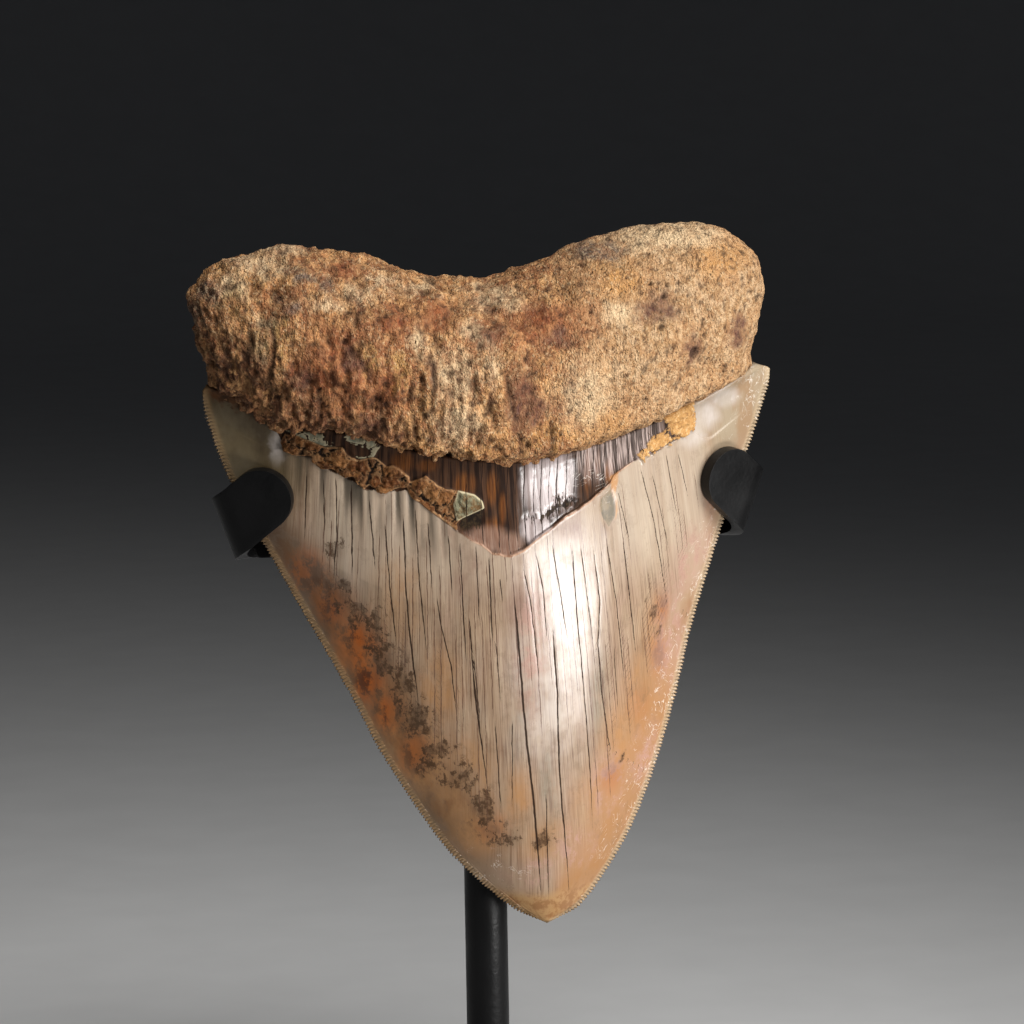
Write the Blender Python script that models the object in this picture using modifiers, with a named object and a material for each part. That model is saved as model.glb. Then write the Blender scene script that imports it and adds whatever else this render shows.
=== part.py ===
"""A fossil megalodon tooth, root up and tip down, held in a black display stand.

Metres, +Z up. The origin is in the middle of the base's underside, and the post stands a little behind it.
The tooth shows its bulging lingual side towards -Y and its flat labial side towards +Y, where the stand
holds it.
"""

from math import cos, pi, radians, sin, sqrt

import bmesh
import bpy
from mathutils import Matrix, Vector, noise

# ---- driving dimensions -------------------------------------------------------------------------
TIP_HEIGHT = 0.060  # the tooth's tip above the surface that the base stands on
GAP = 0.0003  # clearance that touching solids keep

BASE_DIAMETER = 0.100
BASE_HEIGHT = 0.010
BASE_CHAMFER = 0.0012
POST_DIAMETER = 0.0090
POST_SOCKET_DEPTH = 0.006  # how deep the post's foot stands in the base

BAND_WIDTH = 0.0127
BAND_THICKNESS = 0.0026
BAND_EDGE_RADIUS = 0.0007
BAND_MIDDLE_Z = TIP_HEIGHT + 0.0860  # height of the band's centre line above the floor
HOOK_RADIUS = 0.0044  # bend of each hook, at the middle of the band's thickness
HOOK_TURN = radians(154)  # the hook closes onto the sloping front of the tooth
PAD_LENGTH = 0.0130  # from the end of the bend to the round end of the pad
HOOK_OUTSIDE_RIM = {-1: 0.0006, 1: -0.0003}  # the left and right bend's centre, outside the cutting edge
HOOK_LEAN = radians(20)  # the bend's axis leans out from upright, much as the cutting edge does

SCREW_SHANK_DIAMETER = 0.0040
SCREW_HEAD_DIAMETER = 0.0070
SCREW_HEAD_HEIGHT = 0.0026
SCREW_SOCKET_ACROSS = 0.0030
SCREW_SOCKET_DEPTH = 0.0015

# ---- the tooth's outline, seen from the front: (x, z), both measured from the tip ---------------
TIP_X = 0.0106  # the tip lies this far to the right of the post
LEFT_OUTLINE = [
    (0.0, 0.0), (-0.0066, 0.0037), (-0.0130, 0.0090), (-0.0215, 0.0180), (-0.0270, 0.0260),
    (-0.0354, 0.0400), (-0.0413, 0.0520), (-0.0530, 0.0735), (-0.0586, 0.0840), (-0.0628, 0.0920),
    (-0.0660, 0.0990), (-0.0687, 0.1070), (-0.0704, 0.1150), (-0.0696, 0.1165), (-0.0692, 0.1190),
    (-0.0715, 0.1240), (-0.0731, 0.1290), (-0.0738, 0.1340), (-0.0733, 0.1375), (-0.0690, 0.1410),
]
RIGHT_OUTLINE = [
    (0.0, 0.0), (0.0068, 0.0035), (0.0122, 0.0098), (0.0186, 0.0200), (0.0247, 0.0350),
    (0.0288, 0.0485), (0.0317, 0.0600), (0.0372, 0.0770), (0.0430, 0.0935), (0.0459, 0.1010),
    (0.0485, 0.1085), (0.0502, 0.1150), (0.0464, 0.1165), (0.0457, 0.1190), (0.0466, 0.1240),
    (0.0477, 0.1300), (0.0473, 0.1345), (0.0459, 0.1380), (0.0416, 0.1410),
]
AXIS_LEAN_END = 0.095  # above this height the tooth's axis is upright, and below it leans to the tip
NOTCH_X = -0.0040  # the notch between the root's two lobes
LOBES = {-1: (0.0060, 1.6), 1: (0.0073, 1.6)}  # each side's lobe: rise above the notch line, skew
LOBE_TILT = 0.0015  # the right lobe stands this much higher at its end, and the left one lower

# ---- sections of the tooth, from the tip to the top of the root ---------------------------------
# front_z, back_z: where the section crosses the axis on the front and on the back.
# rim_z: where it meets the side outlines. sag: 1 gives a V-shaped crossing, higher gives a U.
# front, back: how far each face bulges from the rim. front_power, back_power: 1 is a lens with
# a sharp rim, 0.5 an ellipse with a round one. rim_y: depth of the rim. lobes: share of the lobes' rise.
# rows: mesh rows up to the next section.
FIELDS = ("front_z", "back_z", "rim_z", "sag", "front", "back", "front_power", "back_power",
          "rim_y", "lobes", "rows")
SECTIONS = [
    (0.0000, 0.0000, 0.0000, 2.0, 0.0000, 0.0000, 1.15, 1.0, 0.0000, 0.0, 3),  # tip
    (0.0070, 0.0070, 0.0075, 2.0, 0.0036, 0.0012, 1.15, 1.0, 0.0000, 0.0, 4),
    (0.0220, 0.0230, 0.0255, 1.9, 0.0078, 0.0022, 1.15, 1.0, 0.0000, 0.0, 5),
    (0.0440, 0.0480, 0.0550, 1.7, 0.0122, 0.0031, 1.15, 1.0, 0.0000, 0.0, 5),
    (0.0640, 0.0740, 0.0860, 1.4, 0.0152, 0.0037, 1.15, 1.0, 0.0000, 0.0, 4),
    (0.0800, 0.0950, 0.1090, 1.2, 0.0172, 0.0042, 1.15, 1.0, 0.0000, 0.0, 1),  # lip of the enamel
    (0.0815, 0.0970, 0.1100, 1.2, 0.0166, 0.0042, 1.15, 1.0, 0.0000, 0.0, 4),  # floor of the bourlette
    (0.0990, 0.1100, 0.1150, 1.6, 0.0184, 0.0044, 1.10, 1.0, 0.0000, 0.0, 3),  # the root's lower margin
    (0.1010, 0.1115, 0.1165, 1.6, 0.0212, 0.0056, 0.55, 0.5, -0.0012, 0.05, 4),
    (0.1120, 0.1190, 0.1230, 1.6, 0.0226, 0.0072, 0.50, 0.5, -0.0030, 0.35, 3),
    (0.1235, 0.1255, 0.1300, 1.3, 0.0180, 0.0090, 0.50, 0.5, -0.0048, 0.75, 7),
    (0.1362, 0.1362, 0.1410, 1.0, 0.0110, 0.0080, 0.50, 0.5, -0.0065, 1.0, 0),  # top of the root
]
LAST_CROWN_SECTION = 7
COLUMNS = 34  # mesh columns from rim to rim, on each face
LUMP_SIZE = 0.011  # wavelength of the root's lumps
LUMP_HEIGHT = 0.0013
SERRATION_PITCH = 0.00074
SERRATION_HEIGHT = 0.0004

# ---- colours and finishes -----------------------------------------------------------------------
FOSSIL_COLOUR = (0.50, 0.35, 0.21)
COATING_COLOUR = (0.012, 0.012, 0.013)
SCREW_COLOUR = (0.03, 0.03, 0.032)


def clear_scene():
    for obj in list(bpy.data.objects):
        bpy.data.objects.remove(obj, do_unlink=True)


def collection(name):
    made = bpy.data.collections.new(name)
    bpy.context.scene.collection.children.link(made)
    return made


def material(name, colour, roughness, metallic=0.0):
    made = bpy.data.materials.new(name)
    made.use_nodes = True
    shader = made.node_tree.nodes["Principled BSDF"]
    shader.inputs["Base Color"].default_value = (*colour, 1.0)
    shader.inputs["Roughness"].default_value = roughness
    shader.inputs["Metallic"].default_value = metallic
    return made


def object_from(bm, name, home, finish=None):
    mesh = bpy.data.meshes.new(name)
    bm.to_mesh(mesh)
    bm.free()
    made = bpy.data.objects.new(name, mesh)
    home.objects.link(made)
    if finish:
        mesh.materials.append(finish)
    return made


def smooth_round_faces(obj):
    obj.data.shade_smooth()
    obj.data.set_sharp_from_angle(angle=radians(50))


def hide_cutter(obj):
    obj.hide_render = True
    obj.display_type = "WIRE"


def subtract(obj, cutter):
    modifier = obj.modifiers.new("cut by " + cutter.name, "BOOLEAN")
    modifier.operation = "DIFFERENCE"
    modifier.object = cutter


# ---- curves -------------------------------------------------------------------------------------
def smooth_value(places, values, at):
    """The value at one place on a cubic curve through all values, which never overshoots them."""
    last = len(places) - 2
    i = min(max(sum(p <= at for p in places) - 1, 0), last)

    def slope(k):
        return (values[k + 1] - values[k]) / (places[k + 1] - places[k])

    def tangent(k):
        if k in (0, last + 1):
            return slope(min(k, last))
        before, after = slope(k - 1), slope(k)
        return 0.0 if before * after <= 0 else 2 * before * after / (before + after)

    step = places[i + 1] - places[i]
    t = (at - places[i]) / step
    return (values[i] * (1 + 2 * t) * (1 - t) ** 2 + values[i + 1] * t * t * (3 - 2 * t)
            + step * (tangent(i) * t * (1 - t) ** 2 - tangent(i + 1) * t * t * (1 - t)))


def side_x(side, z):
    """The tooth's outline on one side (-1 left, 1 right) at height z above the tip."""
    outline = LEFT_OUTLINE if side < 0 else RIGHT_OUTLINE
    return TIP_X + smooth_value([p[1] for p in outline], [p[0] for p in outline], z)


def axis_x(z):
    return TIP_X * max(0.0, 1 - z / AXIS_LEAN_END)


# ---- the tooth ----------------------------------------------------------------------------------
def section_at(t):
    """The section at t, where t counts sections from the tip, as a dict of FIELDS."""
    places = list(range(len(SECTIONS)))
    return {name: smooth_value(places, [section[k] for section in SECTIONS], t)
            for k, name in enumerate(FIELDS[:-1])}


def row_places():
    """t for each mesh row. The last stretch is spaced so that the top of the root comes out round."""
    places = []
    for k, section in enumerate(SECTIONS[:-1]):
        rows = section[-1]
        for i in range(rows):
            share = i / rows
            closing = k == len(SECTIONS) - 2
            places.append(k + (sin(share * pi / 2) if closing else share))
    return places + [len(SECTIONS) - 1.0]


def tooth_point(u, t):
    """A point of the tooth: u runs round the section, -1 to 0 over the front from the left rim to the
    right rim, and 0 to 1 back over the rear face."""
    section = section_at(t)
    face = -1 if u <= 0 else 1
    turn = u + 1 if u <= 0 else 1 - u
    power = section["front_power"] if face < 0 else section["back_power"]
    evenness = (power - 0.5) * 0.85
    s = evenness * (2 * turn - 1) - (1 - evenness) * cos(turn * pi)
    side = -1 if s < 0 else 1
    rim_z = section["rim_z"]
    left, right = side_x(-1, rim_z), side_x(1, rim_z)
    axis_z = section["front_z"] if face < 0 else section["back_z"]
    middle = axis_x(axis_z) + NOTCH_X * section["lobes"]
    x = (left + right) / 2 + (right - left) / 2 * s + (middle - (left + right) / 2) * (1 - s * s)
    rise, skew = LOBES[side]
    z = axis_z + (rim_z - axis_z) * abs(s) ** section["sag"]
    z += section["lobes"] * (rise * sin(pi * abs(s) ** skew) + LOBE_TILT * s)
    closing = max(0.0, t - (len(SECTIONS) - 2))
    cap = sqrt(max(0.0, 1 - closing * closing))
    bulge = section["front"] if face < 0 else section["back"]
    y = section["rim_y"] + face * bulge * cap * max(0.0, 1 - s * s) ** power
    return Vector((x, y, TIP_HEIGHT + z))


def add_lumps(bm):
    """Raises the broad lumps of the root along the surface's normals, fading out below its margin."""
    bm.normal_update()
    for vertex in bm.verts:
        margin = SECTIONS[LAST_CROWN_SECTION][0 if vertex.co.y < 0 else 1]
        above = (vertex.co.z - TIP_HEIGHT - margin - 0.3 * max(0.0, abs(vertex.co.x) - 0.012)) / 0.006
        share = min(max(above, 0.0), 1.0)
        height = noise.noise(vertex.co / LUMP_SIZE) + 0.4 * noise.noise(vertex.co * 2.3 / LUMP_SIZE)
        vertex.co += vertex.normal * LUMP_HEIGHT * share * height


def cut_serrations(bm, rim):
    """Splits each edge of the crown's rim into whole serrations and pushes every crest outwards."""
    middle = Vector((TIP_X / 2, 0, TIP_HEIGHT + 0.07))
    for edge in rim:
        start, end = edge.verts[0].co.copy(), edge.verts[1].co.copy()
        along = (end - start).normalized()
        outward = Vector((along.z, 0, -along.x))
        if outward.dot((start + end) / 2 - middle) < 0:
            outward.negate()
        teeth = max(1, round((end - start).length / SERRATION_PITCH))
        made = bmesh.ops.subdivide_edges(bm, edges=[edge], cuts=2 * teeth - 1)
        new = [g for g in made["geom_inner"] if isinstance(g, bmesh.types.BMVert)]
        new.sort(key=lambda v: (v.co - start).length)
        for crest in new[::2]:
            crest.co += outward * SERRATION_HEIGHT


def build_tooth(home, finish):
    rows = row_places()
    bm = bmesh.new()
    bmesh.ops.create_grid(bm, x_segments=2 * COLUMNS, y_segments=len(rows) - 1, size=1.0)
    on_rim = bm.verts.layers.int.new("rim")
    for vertex in bm.verts:
        column = round(vertex.co.x * COLUMNS)
        row = rows[round((vertex.co.y + 1) / 2 * (len(rows) - 1))]
        vertex[on_rim] = column % COLUMNS == 0 and row <= LAST_CROWN_SECTION
        vertex.co = tooth_point(column / COLUMNS, row)
    bmesh.ops.remove_doubles(bm, verts=bm.verts, dist=1e-7)
    add_lumps(bm)
    cut_serrations(bm, [e for e in bm.edges if e.verts[0][on_rim] and e.verts[1][on_rim]])
    bmesh.ops.triangulate(bm, faces=bm.faces, ngon_method="BEAUTY")
    tooth = object_from(bm, "tooth", home, finish)
    tooth.data.shade_smooth()
    return tooth


# ---- the stand ----------------------------------------------------------------------------------
BAND_Y = 0.0042 + GAP + BAND_THICKNESS / 2  # middle of the band's thickness behind the tooth
POST_FLAT_Y = BAND_Y + BAND_THICKNESS / 2 + GAP  # the flat milled on the post's front
POST_Y = POST_FLAT_Y + 0.0030  # the post's axis


def hook_point(side, along, across):
    """A point of the band's middle surface. along runs from the post out to the pad's end and across
    runs up the band's width, as on the flat strip before it is bent round the cutting edge."""
    c, s = cos(HOOK_LEAN), sin(HOOK_LEAN)
    rim_x = abs(side_x(side, BAND_MIDDLE_Z - TIP_HEIGHT))
    start = rim_x + HOOK_OUTSIDE_RIM[side]
    # distance past the bend's first line, and distance up along that line
    past = (along - start) * c - across * s
    up = (along - start) * s + across * c
    arc = HOOK_RADIUS * HOOK_TURN
    if past <= 0:
        out, depth = past, 0.0
    elif past < arc:
        angle = past / HOOK_RADIUS
        out, depth = HOOK_RADIUS * sin(angle), HOOK_RADIUS * (1 - cos(angle))
    else:
        rest = past - arc
        out = HOOK_RADIUS * sin(HOOK_TURN) + rest * cos(HOOK_TURN)
        depth = HOOK_RADIUS * (1 - cos(HOOK_TURN)) + rest * sin(HOOK_TURN)
    x = start + out * c + up * s
    z = -out * s + up * c
    return Vector((side * x, BAND_Y - depth, BAND_MIDDLE_Z + z))


def strip_half_length(side):
    rim_x = abs(side_x(side, BAND_MIDDLE_Z - TIP_HEIGHT))
    return rim_x + HOOK_OUTSIDE_RIM[side] + HOOK_RADIUS * HOOK_TURN + PAD_LENGTH


def build_band(home, finish, bore):
    """A flat bar with round ends, bent into a hook at each cutting edge."""
    half_width = BAND_WIDTH / 2
    bm = bmesh.new()
    straight_steps, hook_steps, end_steps, width_steps = 3, 22, 5, 6
    steps = straight_steps + hook_steps + end_steps
    bmesh.ops.create_grid(bm, x_segments=2 * steps, y_segments=width_steps, size=1.0)
    for vertex in bm.verts:
        side = -1 if vertex.co.x < 0 else 1
        step = round(abs(vertex.co.x) * steps)
        v = vertex.co.y
        straight = abs(side_x(side, BAND_MIDDLE_Z - TIP_HEIGHT)) - half_width
        round_start = strip_half_length(side) - half_width
        if step <= straight_steps:
            along, across = straight * step / straight_steps, v * half_width
        elif step <= straight_steps + hook_steps:
            share = (step - straight_steps) / hook_steps
            along, across = straight + (round_start - straight) * share, v * half_width
        else:
            u = (step - straight_steps - hook_steps) / end_steps
            along = round_start + half_width * u * sqrt(1 - v * v / 2)
            across = half_width * v * sqrt(1 - u * u / 2)
        vertex.co = hook_point(side, along, across)
    bmesh.ops.recalc_face_normals(bm, faces=bm.faces)
    band = object_from(bm, "cradle_band", home, finish)
    smooth_round_faces(band)
    solidify = band.modifiers.new("thickness", "SOLIDIFY")
    solidify.thickness = BAND_THICKNESS
    solidify.offset = 0.0
    bevel = band.modifiers.new("rounded edges", "BEVEL")
    bevel.width = BAND_EDGE_RADIUS
    bevel.segments = 1
    bevel.limit_method = "ANGLE"
    bevel.angle_limit = radians(50)
    subtract(band, bore)
    return band


def cylinder(name, home, diameter, low, high, along="Z", segments=32, finish=None):
    """A cylinder from low to high, two points on its axis."""
    low, high = Vector(low), Vector(high)
    bm = bmesh.new()
    bmesh.ops.create_cone(bm, cap_ends=True, segments=segments, radius1=diameter / 2,
                          radius2=diameter / 2, depth=(high - low).length)
    turn = Matrix.Rotation(radians(-90), 4, "X") if along == "Y" else Matrix.Identity(4)
    bmesh.ops.transform(bm, matrix=Matrix.Translation((low + high) / 2) @ turn, verts=bm.verts)
    made = object_from(bm, name, home, finish)
    smooth_round_faces(made)
    return made


def build_post(home, cutters, finish, bore):
    top = BAND_MIDDLE_Z + BAND_WIDTH / 2
    foot = BASE_HEIGHT - POST_SOCKET_DEPTH
    post = cylinder("post", home, POST_DIAMETER, (0, POST_Y, foot), (0, POST_Y, top), finish=finish)
    bevel = post.modifiers.new("chamfered ends", "BEVEL")
    bevel.width = 0.0005
    bevel.limit_method = "ANGLE"
    bevel.angle_limit = radians(50)
    height = BAND_WIDTH + 2 * GAP
    bm = bmesh.new()
    bmesh.ops.create_cube(bm, size=1.0)
    bmesh.ops.scale(bm, vec=(0.02, 0.01, 2 * height), verts=bm.verts)
    centre = Vector((0, POST_FLAT_Y - 0.005, BAND_MIDDLE_Z + height / 2))
    bmesh.ops.translate(bm, vec=centre, verts=bm.verts)
    flat = object_from(bm, "post flat cutter", cutters)
    hide_cutter(flat)
    subtract(post, flat)
    subtract(post, bore)
    return post


def build_base(home, cutters, finish):
    base = cylinder("base", home, BASE_DIAMETER, (0, 0, 0), (0, 0, BASE_HEIGHT), segments=72, finish=finish)
    bevel = base.modifiers.new("chamfer", "BEVEL")
    bevel.width = BASE_CHAMFER
    bevel.limit_method = "ANGLE"
    bevel.angle_limit = radians(50)
    socket = cylinder("base socket cutter", cutters, POST_DIAMETER + 2 * GAP,
                      (0, POST_Y, BASE_HEIGHT - POST_SOCKET_DEPTH - GAP), (0, POST_Y, 2 * BASE_HEIGHT))
    hide_cutter(socket)
    subtract(base, socket)
    return base


def build_screw(home, cutters, finish):
    """The cap screw that goes in through the back of the post and into the band."""
    back = POST_Y + POST_DIAMETER / 2
    z = BAND_MIDDLE_Z
    screw = cylinder("band_screw", home, SCREW_SHANK_DIAMETER, (0, BAND_Y - BAND_THICKNESS / 2 + GAP, z),
                     (0, back + SCREW_HEAD_HEIGHT / 2, z), along="Y", segments=20, finish=finish)
    head = cylinder("screw head", cutters, SCREW_HEAD_DIAMETER, (0, back + GAP, z),
                    (0, back + GAP + SCREW_HEAD_HEIGHT, z), along="Y", segments=28)
    hide_cutter(head)
    join = screw.modifiers.new("head", "BOOLEAN")
    join.operation = "UNION"
    join.object = head
    end = back + GAP + SCREW_HEAD_HEIGHT
    bottom, above = (0, end - SCREW_SOCKET_DEPTH, z), (0, end + SCREW_SOCKET_DEPTH, z)
    socket = cylinder("hexagon socket cutter", cutters, SCREW_SOCKET_ACROSS / cos(pi / 6), bottom, above,
                      along="Y", segments=6)
    hide_cutter(socket)
    subtract(screw, socket)
    return screw


def main():
    clear_scene()
    parts = collection("megalodon tooth on its stand")
    cutters = collection("cutters")
    fossil = material("fossil", FOSSIL_COLOUR, 0.6)
    coating = material("black coating", COATING_COLOUR, 0.45)
    blackened = material("blackened steel", SCREW_COLOUR, 0.35, 0.8)

    build_tooth(parts, fossil)
    front, back = (0, BAND_Y - 0.01, BAND_MIDDLE_Z), (0, POST_Y + 0.01, BAND_MIDDLE_Z)
    bore = cylinder("screw bore cutter", cutters, SCREW_SHANK_DIAMETER + 2 * GAP, front, back,
                    along="Y", segments=20)
    hide_cutter(bore)
    build_band(parts, coating, bore)
    build_post(parts, cutters, coating, bore)
    build_base(parts, cutters, coating)
    build_screw(parts, cutters, blackened)


main()
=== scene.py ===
"""The looks of a fossil megalodon tooth on its black display stand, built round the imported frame.

Metres, +Z up, the origin under the middle of the base. The tooth shows its bulging lingual side towards -Y.
"""

from math import cos, pi, radians, sin, sqrt

import bmesh
import bpy
import numpy as np
from mathutils import Matrix, Vector, noise


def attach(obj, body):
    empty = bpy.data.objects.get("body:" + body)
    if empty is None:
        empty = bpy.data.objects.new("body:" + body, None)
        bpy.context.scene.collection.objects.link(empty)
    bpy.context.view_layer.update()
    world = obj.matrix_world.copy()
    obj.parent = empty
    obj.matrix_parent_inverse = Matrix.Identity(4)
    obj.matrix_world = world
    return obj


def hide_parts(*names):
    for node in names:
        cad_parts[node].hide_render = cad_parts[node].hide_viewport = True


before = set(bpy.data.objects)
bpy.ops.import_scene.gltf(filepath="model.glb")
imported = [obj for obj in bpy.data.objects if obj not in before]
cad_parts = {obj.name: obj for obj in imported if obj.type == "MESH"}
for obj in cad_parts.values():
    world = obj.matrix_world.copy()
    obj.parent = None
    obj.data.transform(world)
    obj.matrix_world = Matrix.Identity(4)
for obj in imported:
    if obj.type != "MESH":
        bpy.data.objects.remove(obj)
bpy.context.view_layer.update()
bpy.ops.object.select_all(action="DESELECT")


# ---- The tooth's form ---------------------------------------------------------------------------
# The fossil tooth of a giant shark, root up and tip down. It grew as one piece: a sharp-edged lens of enamelled
# crown fills out upwards to a thick two-lobed root, which overhangs the crown all along its lower margin.
# All of it is in millimetres, measured across (x) and up (z) from the tip, with the front at -y.
TIP = np.array((10.6, 0.0, 60.0))
LEFT_OUTLINE = [
    (0, 0), (-6.6, 3.7), (-13, 9), (-21.5, 18), (-27, 26), (-35.4, 40), (-41.3, 52), (-53, 73.5), (-58.6, 84),
    (-62.8, 92), (-66, 99), (-68.7, 107), (-70.4, 115), (-69.6, 116.5), (-69.2, 119), (-71.5, 124),
    (-73.1, 129), (-73.8, 134), (-73.3, 137.5), (-69, 141),
]
RIGHT_OUTLINE = [
    (0, 0), (6.8, 3.5), (12.2, 9.8), (18.6, 20), (24.7, 35), (28.8, 48.5), (31.7, 60), (37.2, 77), (43, 93.5),
    (45.9, 101), (48.5, 108.5), (50.2, 115), (46.4, 116.5), (45.7, 119), (46.6, 124), (47.7, 130),
    (47.3, 134.5), (45.9, 138), (41.6, 141),
]
AXIS_LEAN_END = 95.0  # the height at which the middle line, leaning from the tip, stands over the post
NOTCH_X = -4.0
NECK_Z = 118.0
LOBE_RISES, LOBE_SKEW, LOBE_TILT = (6.0, 7.3), 1.6, 1.5
# front_z, back_z, rim_z, sag, front, back, front_power, back_power, rim_y, lobes
SECTIONS = np.array([
    (0.0, 0.0, 0.0, 2.0, 0.0, 0.0, 1.15, 1.0, 0.0, 0.0),
    (7.0, 7.0, 7.5, 2.0, 3.6, 1.2, 1.15, 1.0, 0.0, 0.0),
    (22.0, 23.0, 25.5, 1.9, 7.8, 2.2, 1.15, 1.0, 0.0, 0.0),
    (44.0, 48.0, 55.0, 1.7, 12.2, 3.1, 1.15, 1.0, 0.0, 0.0),
    (64.0, 74.0, 86.0, 1.4, 15.2, 3.7, 1.15, 1.0, 0.0, 0.0),
    (80.0, 95.0, 109.0, 1.2, 17.2, 4.2, 1.15, 1.0, 0.0, 0.0),
    (81.5, 97.0, 110.0, 1.2, 16.6, 4.2, 1.15, 1.0, 0.0, 0.0),
    (99.0, 110.0, 115.0, 1.6, 18.4, 4.4, 1.10, 1.0, 0.0, 0.0),
    (101.0, 111.5, 116.5, 1.6, 21.2, 5.6, 0.55, 0.5, -1.2, 0.05),
    (112.0, 119.0, 123.0, 1.6, 22.6, 7.2, 0.50, 0.5, -3.0, 0.35),
    (123.5, 125.5, 130.0, 1.3, 18.0, 9.0, 0.50, 0.5, -4.8, 0.75),
    (136.2, 136.2, 141.0, 1.0, 11.0, 8.0, 0.50, 0.5, -6.5, 1.0),
])
LIP, MARGIN, TOP = 5, 7, 11  # the sections at the enamel's lip, the crown's upper end and the root's crest


def curve_through(places, values, at):
    """Values at the given places on a smooth curve through all values, which never overshoots them."""
    places, values = np.asarray(places, float), np.asarray(values, float)
    slopes = np.diff(values) / np.diff(places)
    before, after = slopes[:-1], slopes[1:]
    product = before * after
    bends = np.where(product > 0, 2 * product / np.where(product > 0, before + after, 1), 0)
    tangents = np.concatenate(([slopes[0]], bends, [slopes[-1]]))
    i = np.clip(np.searchsorted(places, at, side="right") - 1, 0, len(places) - 2)
    step = places[i + 1] - places[i]
    q = (at - places[i]) / step
    return (values[i] * (1 + 2 * q) * (1 - q) ** 2 + values[i + 1] * q * q * (3 - 2 * q)
            + step * (tangents[i] * q * (1 - q) ** 2 - tangents[i + 1] * q * q * (1 - q)))


def outline_x(side, z):
    points = np.array(LEFT_OUTLINE if side < 0 else RIGHT_OUTLINE)
    return curve_through(points[:, 1], points[:, 0], z)


def section_values(t):
    return [curve_through(range(len(SECTIONS)), SECTIONS[:, k], t) for k in range(SECTIONS.shape[1])]


def tooth_surface(front, s, t, neck=False):
    """Points on the tooth: s runs from the left rim (-1) to the right (1), and t up the sections. With neck,
    the rim below the root's neck is drawn in to it, as the root's edge is under the enamel's shoulders."""
    front_z, back_z, rim_z, sag, front_y, back_y, front_power, back_power, rim_y, lobes = section_values(t)
    rim_height = np.maximum(rim_z, NECK_Z) if neck else rim_z
    left, right = outline_x(-1, rim_height), outline_x(1, rim_height)
    axis_z = np.where(front, front_z, back_z)
    middle = (left + right) / 2
    axis = -TIP[0] * np.minimum(1.0, axis_z / AXIS_LEAN_END) + NOTCH_X * lobes
    x = middle + (right - left) / 2 * s + (axis - middle) * (1 - s * s)
    z = axis_z + (rim_z - axis_z) * np.abs(s) ** sag
    z = z + lobes * (np.where(s < 0, *LOBE_RISES) * np.sin(pi * np.abs(s) ** LOBE_SKEW) + LOBE_TILT * s)
    closing = np.maximum(0.0, t - (TOP - 1))
    cap = np.sqrt(np.maximum(0.0, 1 - closing * closing))
    bulge = np.where(front, -front_y, back_y)
    power = np.where(front, front_power, back_power)
    y = rim_y + bulge * cap * np.maximum(0.0, 1 - s * s) ** power
    return np.stack((x, y, z), axis=1)


def smooth_step(low, high, value):
    q = np.clip((value - low) / (high - low), 0, 1)
    return q * q * (3 - 2 * q)


def waves(x, y, z, octaves=1):
    """Soft noise of about -1 to 1 at each point, whose lumps are about one unit across."""
    if octaves == 1:
        return np.array([noise.noise(p) for p in zip(x, y, z)])
    smoothness, lacunarity = 0.9, 2.1
    return np.array([noise.fractal(p, smoothness, lacunarity, octaves) for p in zip(x, y, z)])


def patch(x, z, spots, edge=0.45):
    """How far each point is inside any of the oval spots (x, z, half width, half height): 0 out, 1 in."""
    inside = np.zeros(len(x))
    for cx, cz, half_width, half_height in spots:
        distance = np.sqrt(((x - cx) / half_width) ** 2 + ((z - cz) / half_height) ** 2)
        inside = np.maximum(inside, 1 - smooth_step(1 - edge, 1 + edge, distance))
    return inside


def named(name):
    """The object that was just added, with its name."""
    made = bpy.context.object
    made.name = made.data.name = name
    return made


def ring_grid(name, columns, rows):
    """A grid of cells to be wrapped round the tooth. Gives the object, and each vertex's column and row."""
    bpy.ops.mesh.primitive_grid_add(x_subdivisions=columns, y_subdivisions=rows, size=2)
    made = named(name)
    flat = np.empty(len(made.data.vertices) * 3)
    made.data.vertices.foreach_get("co", flat)
    flat = flat.reshape(-1, 3)
    column = np.rint((flat[:, 0] + 1) / 2 * columns).astype(int)
    row = np.rint((flat[:, 1] + 1) / 2 * rows).astype(int)
    made.select_set(False)
    return made, column, row


def close_seams(obj):
    """Joins the seam and the closed ends of a wrapped grid and turns its faces outwards. Gives, for each
    vertex that is left, its number in the grid before."""
    bm = bmesh.new()
    bm.from_mesh(obj.data)
    number = bm.verts.layers.int.new("number")
    for vertex in bm.verts:
        vertex[number] = vertex.index
    bmesh.ops.remove_doubles(bm, verts=bm.verts, dist=1e-7)
    bmesh.ops.recalc_face_normals(bm, faces=bm.faces)
    kept = np.array([vertex[number] for vertex in bm.verts])
    bm.verts.layers.int.remove(number)
    bm.to_mesh(obj.data)
    bm.free()
    return kept


def place_vertices(obj, points):
    """Sets every vertex, in metres, from points in millimetres from the tip."""
    obj.data.vertices.foreach_set("co", ((points + TIP) / 1000).ravel())
    obj.data.update()


def vertex_normals(obj):
    flat = np.empty(len(obj.data.vertices) * 3)
    obj.data.vertex_normals.foreach_get("vector", flat)
    return flat.reshape(-1, 3)


def add_mask(obj, name, values):
    """Stores one number per vertex for the material to read."""
    layer = obj.data.attributes.new(name, "FLOAT", "POINT")
    layer.data.foreach_set("value", np.asarray(values, float))


def row_places(counts, places):
    """The section place of each row, from the number of rows between neighbouring places."""
    rows = [np.linspace(places[k], places[k + 1], n, endpoint=False) for k, n in enumerate(counts)]
    return np.append(np.concatenate(rows), places[-1])


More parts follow.
